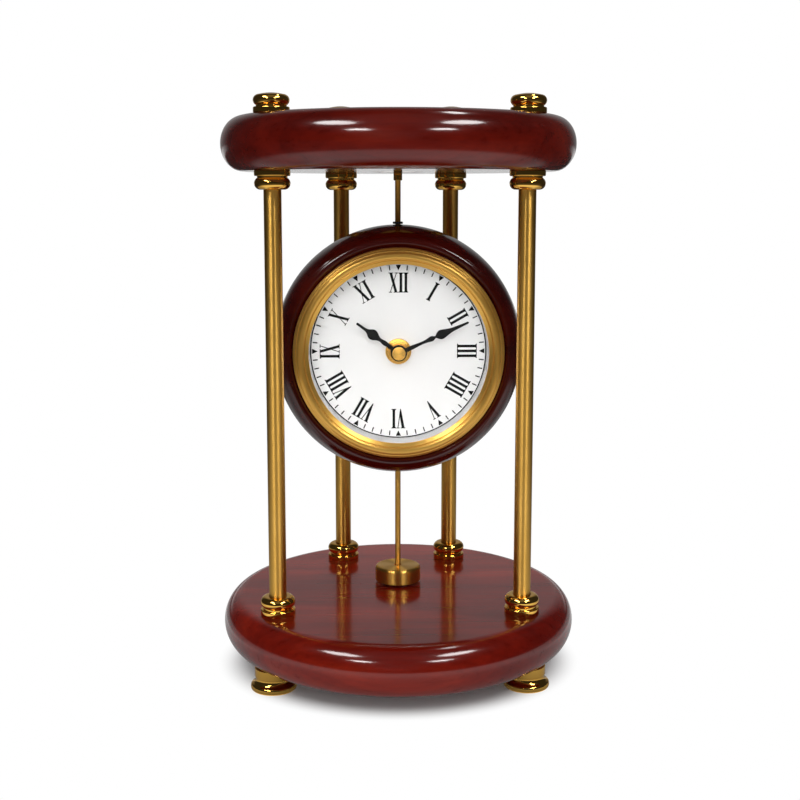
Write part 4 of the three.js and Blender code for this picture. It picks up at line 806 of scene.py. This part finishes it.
paper = bpy.data.materials.new("paper")
paper.use_nodes = True
tree = paper.node_tree
tree.nodes.clear()
matt = tree.nodes.new("ShaderNodeBsdfDiffuse")
matt.inputs["Color"].default_value = FLOOR_GREY
glow = tree.nodes.new("ShaderNodeEmission")
place = tree.nodes.new("ShaderNodeNewGeometry")
narrow = tree.nodes.new("ShaderNodeVectorMath")
narrow.operation = "MULTIPLY"
narrow.inputs[1].default_value = SHADOW_SQUEEZE
tree.links.new(place.outputs["Position"], narrow.inputs[0])
length = tree.nodes.new("ShaderNodeVectorMath")
length.operation = "LENGTH"
tree.links.new(narrow.outputs["Vector"], length.inputs[0])
fade = tree.nodes.new("ShaderNodeMapRange")
fade.interpolation_type = "SMOOTHSTEP"
fade.inputs["From Min"].default_value = SHADOW_INNER
fade.inputs["From Max"].default_value = SHADOW_OUTER
tree.links.new(length.outputs["Value"], fade.inputs["Value"])
shown = tree.nodes.new("ShaderNodeMath")
shown.operation = "MULTIPLY"
tree.links.new(fade.outputs["Result"], shown.inputs[0])
tree.links.new(seen(tree), shown.inputs[1])
mix = tree.nodes.new("ShaderNodeMixShader")
tree.links.new(shown.outputs[0], mix.inputs[0])
tree.links.new(matt.outputs[0], mix.inputs[1])
tree.links.new(glow.outputs[0], mix.inputs[2])
tree.links.new(mix.outputs[0], tree.nodes.new("ShaderNodeOutputMaterial").inputs["Surface"])

bm = bmesh.new()
bmesh.ops.create_circle(bm, cap_ends=True, segments=96, radius=FLOOR_RADIUS)
floor = to_object("floor", bm, smooth=False)
floor.data.materials.append(paper)


def direction(azimuth, elevation):
    """Unit vector; azimuth 0 is the front, 90 the right."""
    a, e = math.radians(azimuth), math.radians(elevation)
    return Vector((math.sin(a) * math.cos(e), -math.cos(a) * math.cos(e), math.sin(e)))


def between(stops, x):
    """Value at x on the line through the stops."""
    for (x0, y0), (x1, y1) in zip(stops, stops[1:]):
        if x <= x1:
            return y0 + (y1 - y0) * max(0.0, (x - x0) / (x1 - x0))
    return stops[-1][1]


def screen(name, rows, place, level):
    """A part of the studio that only reflections see; place and level take an azimuth and a row."""
    turns = 120
    bm = bmesh.new()
    shade = bm.verts.layers.float_color.new("shade")
    rings = []
    for row in rows:
        ring = []
        for k in range(turns):
            azimuth = 360 * k / turns - 180
            vert = bm.verts.new(place(azimuth, row))
            value = level(azimuth, row)
            vert[shade] = (value, value, value, 1)
            ring.append(vert)
        rings.append(ring)
    for a, b in zip(rings, rings[1:]):
        for k in range(turns):
            n = (k + 1) % turns
            bm.faces.new((a[k], a[n], b[n], b[k]))
    obj = to_object(name, bm, smooth=False)
    finish = bpy.data.materials.new(name)
    finish.use_nodes = True
    finish.node_tree.nodes.clear()
    tone = finish.node_tree.nodes.new("ShaderNodeAttribute")
    tone.attribute_name = "shade"
    light = finish.node_tree.nodes.new("ShaderNodeEmission")
    finish.node_tree.links.new(tone.outputs["Color"], light.inputs["Color"])
    out = finish.node_tree.nodes.new("ShaderNodeOutputMaterial")
    finish.node_tree.links.new(light.outputs[0], out.inputs["Surface"])
    finish.cycles.emission_sampling = "NONE"
    obj.data.materials.append(finish)
    obj.visible_camera = False
    obj.visible_diffuse = False
    obj.visible_shadow = False
    obj.visible_volume_scatter = False


# Levels as (place, level): by distance on the ground, a painted shadow under the clock and a painted pool
# of light around it; REAR and FRONT by elevation
GROUND_SHADE_AND_LIGHT = [(0.070, 0.10), (0.096, 0.30), (0.14, 0.52), (0.19, 0.95), (0.40, 0.92), (0.50, 0.12), (0.85, 0.07)]
REAR = [(0, 0.85), (4.4, 0.85), (5.4, 0.24), (13, 0.30), (45, 0.28), (65, 0.06), (90, 0.03)]
FRONT = [(30, 0.03), (45, 0.15), (78, 0.15), (89, 0.06)]
DARK = 0.03
OPEN_GROUND = 0.18
GROUND_ROWS = (0.070, 0.096, 0.12, 0.14, 0.165, 0.19, 0.25, 0.30, 0.40, 0.45, 0.50, 0.60, 0.72, 0.85, 3.01)
GROUND_LIFT = Vector((0, 0, 0.0006))
WALL_ROWS = (0, 4.4, 5.4, 9, 13, 20, 30, 45, 55, 65, 78, 89.5)
WALL_RADIUS = 3.0
LAMP_TARGET = Vector((0, 0, 0.15))


def ground_level(azimuth, radius):
    """Pale paper close to the clock, most of it in front, with a painted shadow right under the clock and a
    painted pool of light around it that fades to dark further out.
    """
    side = between([(60, 1.0), (100, 0.35)], abs(azimuth)) if radius > OPEN_GROUND else 1.0
    return between(GROUND_SHADE_AND_LIGHT, radius) * side


def dome_level(azimuth, elevation):
    """A dark room, a little lighter high up in front, with a grey wall behind the clock."""
    behind = between([(138, 0.0), (162, 1.0)], abs(azimuth))
    ahead = between(FRONT, elevation) * between([(40, 1.0), (80, 0.2)], abs(azimuth))
    return max(DARK, ahead) * (1 - behind) + between(REAR, elevation) * behind


def ground_place(azimuth, radius):
    return direction(azimuth, 0) * radius + GROUND_LIFT


def wall_place(azimuth, elevation):
    return direction(azimuth, elevation) * WALL_RADIUS


screen("studio_ground", GROUND_ROWS, ground_place, ground_level)
screen("studio_wall", WALL_ROWS, wall_place, dome_level)


def softbox(name, azimuth, elevation, distance, width, height, watts):
    lamp = bpy.data.lights.new(name, "AREA")
    lamp.shape = "ELLIPSE"
    lamp.size = width
    lamp.size_y = height
    lamp.energy = watts
    obj = bpy.data.objects.new(name, lamp)
    bpy.context.scene.collection.objects.link(obj)
    obj.location = LAMP_TARGET + direction(azimuth, elevation) * distance
    obj.rotation_euler = (LAMP_TARGET - obj.location).to_track_quat("-Z", "Y").to_euler()
    obj.visible_camera = False
    return obj


glints = [
    softbox("key_left", -48, 47, 1.3, 0.50, 0.26, 5.6),
    softbox("key_right", 47, 48, 1.3, 0.50, 0.26, 5.6),
    softbox("strip_left", -26, 28, 1.4, 0.34, 0.09, 2.4),
    softbox("strip_right", 27, 29, 1.4, 0.34, 0.09, 2.4),
    softbox("overhead", 114, 72, 1.4, 0.30, 0.16, 1.6),
]
for lamp in glints:
    lamp.visible_diffuse = False
    lamp.visible_transmission = False
fills = [
    softbox("front_fill", -4, 14, 1.5, 1.0, 0.8, 10.2),
    softbox("left_fill", -108, 36, 1.5, 0.8, 0.6, 4.0),
    softbox("right_fill", 108, 36, 1.5, 0.8, 0.6, 4.0),
    softbox("rear_fill", 180, 40, 1.5, 0.8, 0.6, 13.0),
]
for lamp in fills:
    lamp.visible_glossy = False

SENSOR_WIDTH = 36.0
PICTURE_PIXELS = 800
FOCAL_PIXELS = 1222.81
CAMERA_PLACE = Vector((-0.01543, -0.64296, 0.25169))
CAMERA_HEADING = Vector((0.024, 0.9997, 0)).normalized()
CAMERA_PITCH = math.radians(7.822)

camera_data = bpy.data.cameras.new("camera")
camera_data.sensor_width = SENSOR_WIDTH
camera_data.lens = FOCAL_PIXELS * SENSOR_WIDTH / PICTURE_PIXELS
camera_data.shift_x = 0.0020
camera_data.shift_y = -0.05
camera = bpy.data.objects.new("camera", camera_data)
bpy.context.scene.collection.objects.link(camera)
drop = Vector((0, 0, math.sin(CAMERA_PITCH)))
ahead = (CAMERA_HEADING * math.cos(CAMERA_PITCH) - drop).normalized()
across = ahead.cross(Vector((0, 0, 1))).normalized()
up = across.cross(ahead)
camera.matrix_world = Matrix((
    (across.x, up.x, -ahead.x, CAMERA_PLACE.x),
    (across.y, up.y, -ahead.y, CAMERA_PLACE.y),
    (across.z, up.z, -ahead.z, CAMERA_PLACE.z),
    (0, 0, 0, 1),
))
bpy.context.scene.camera = camera
bpy.context.scene.view_settings.view_transform = "Standard"
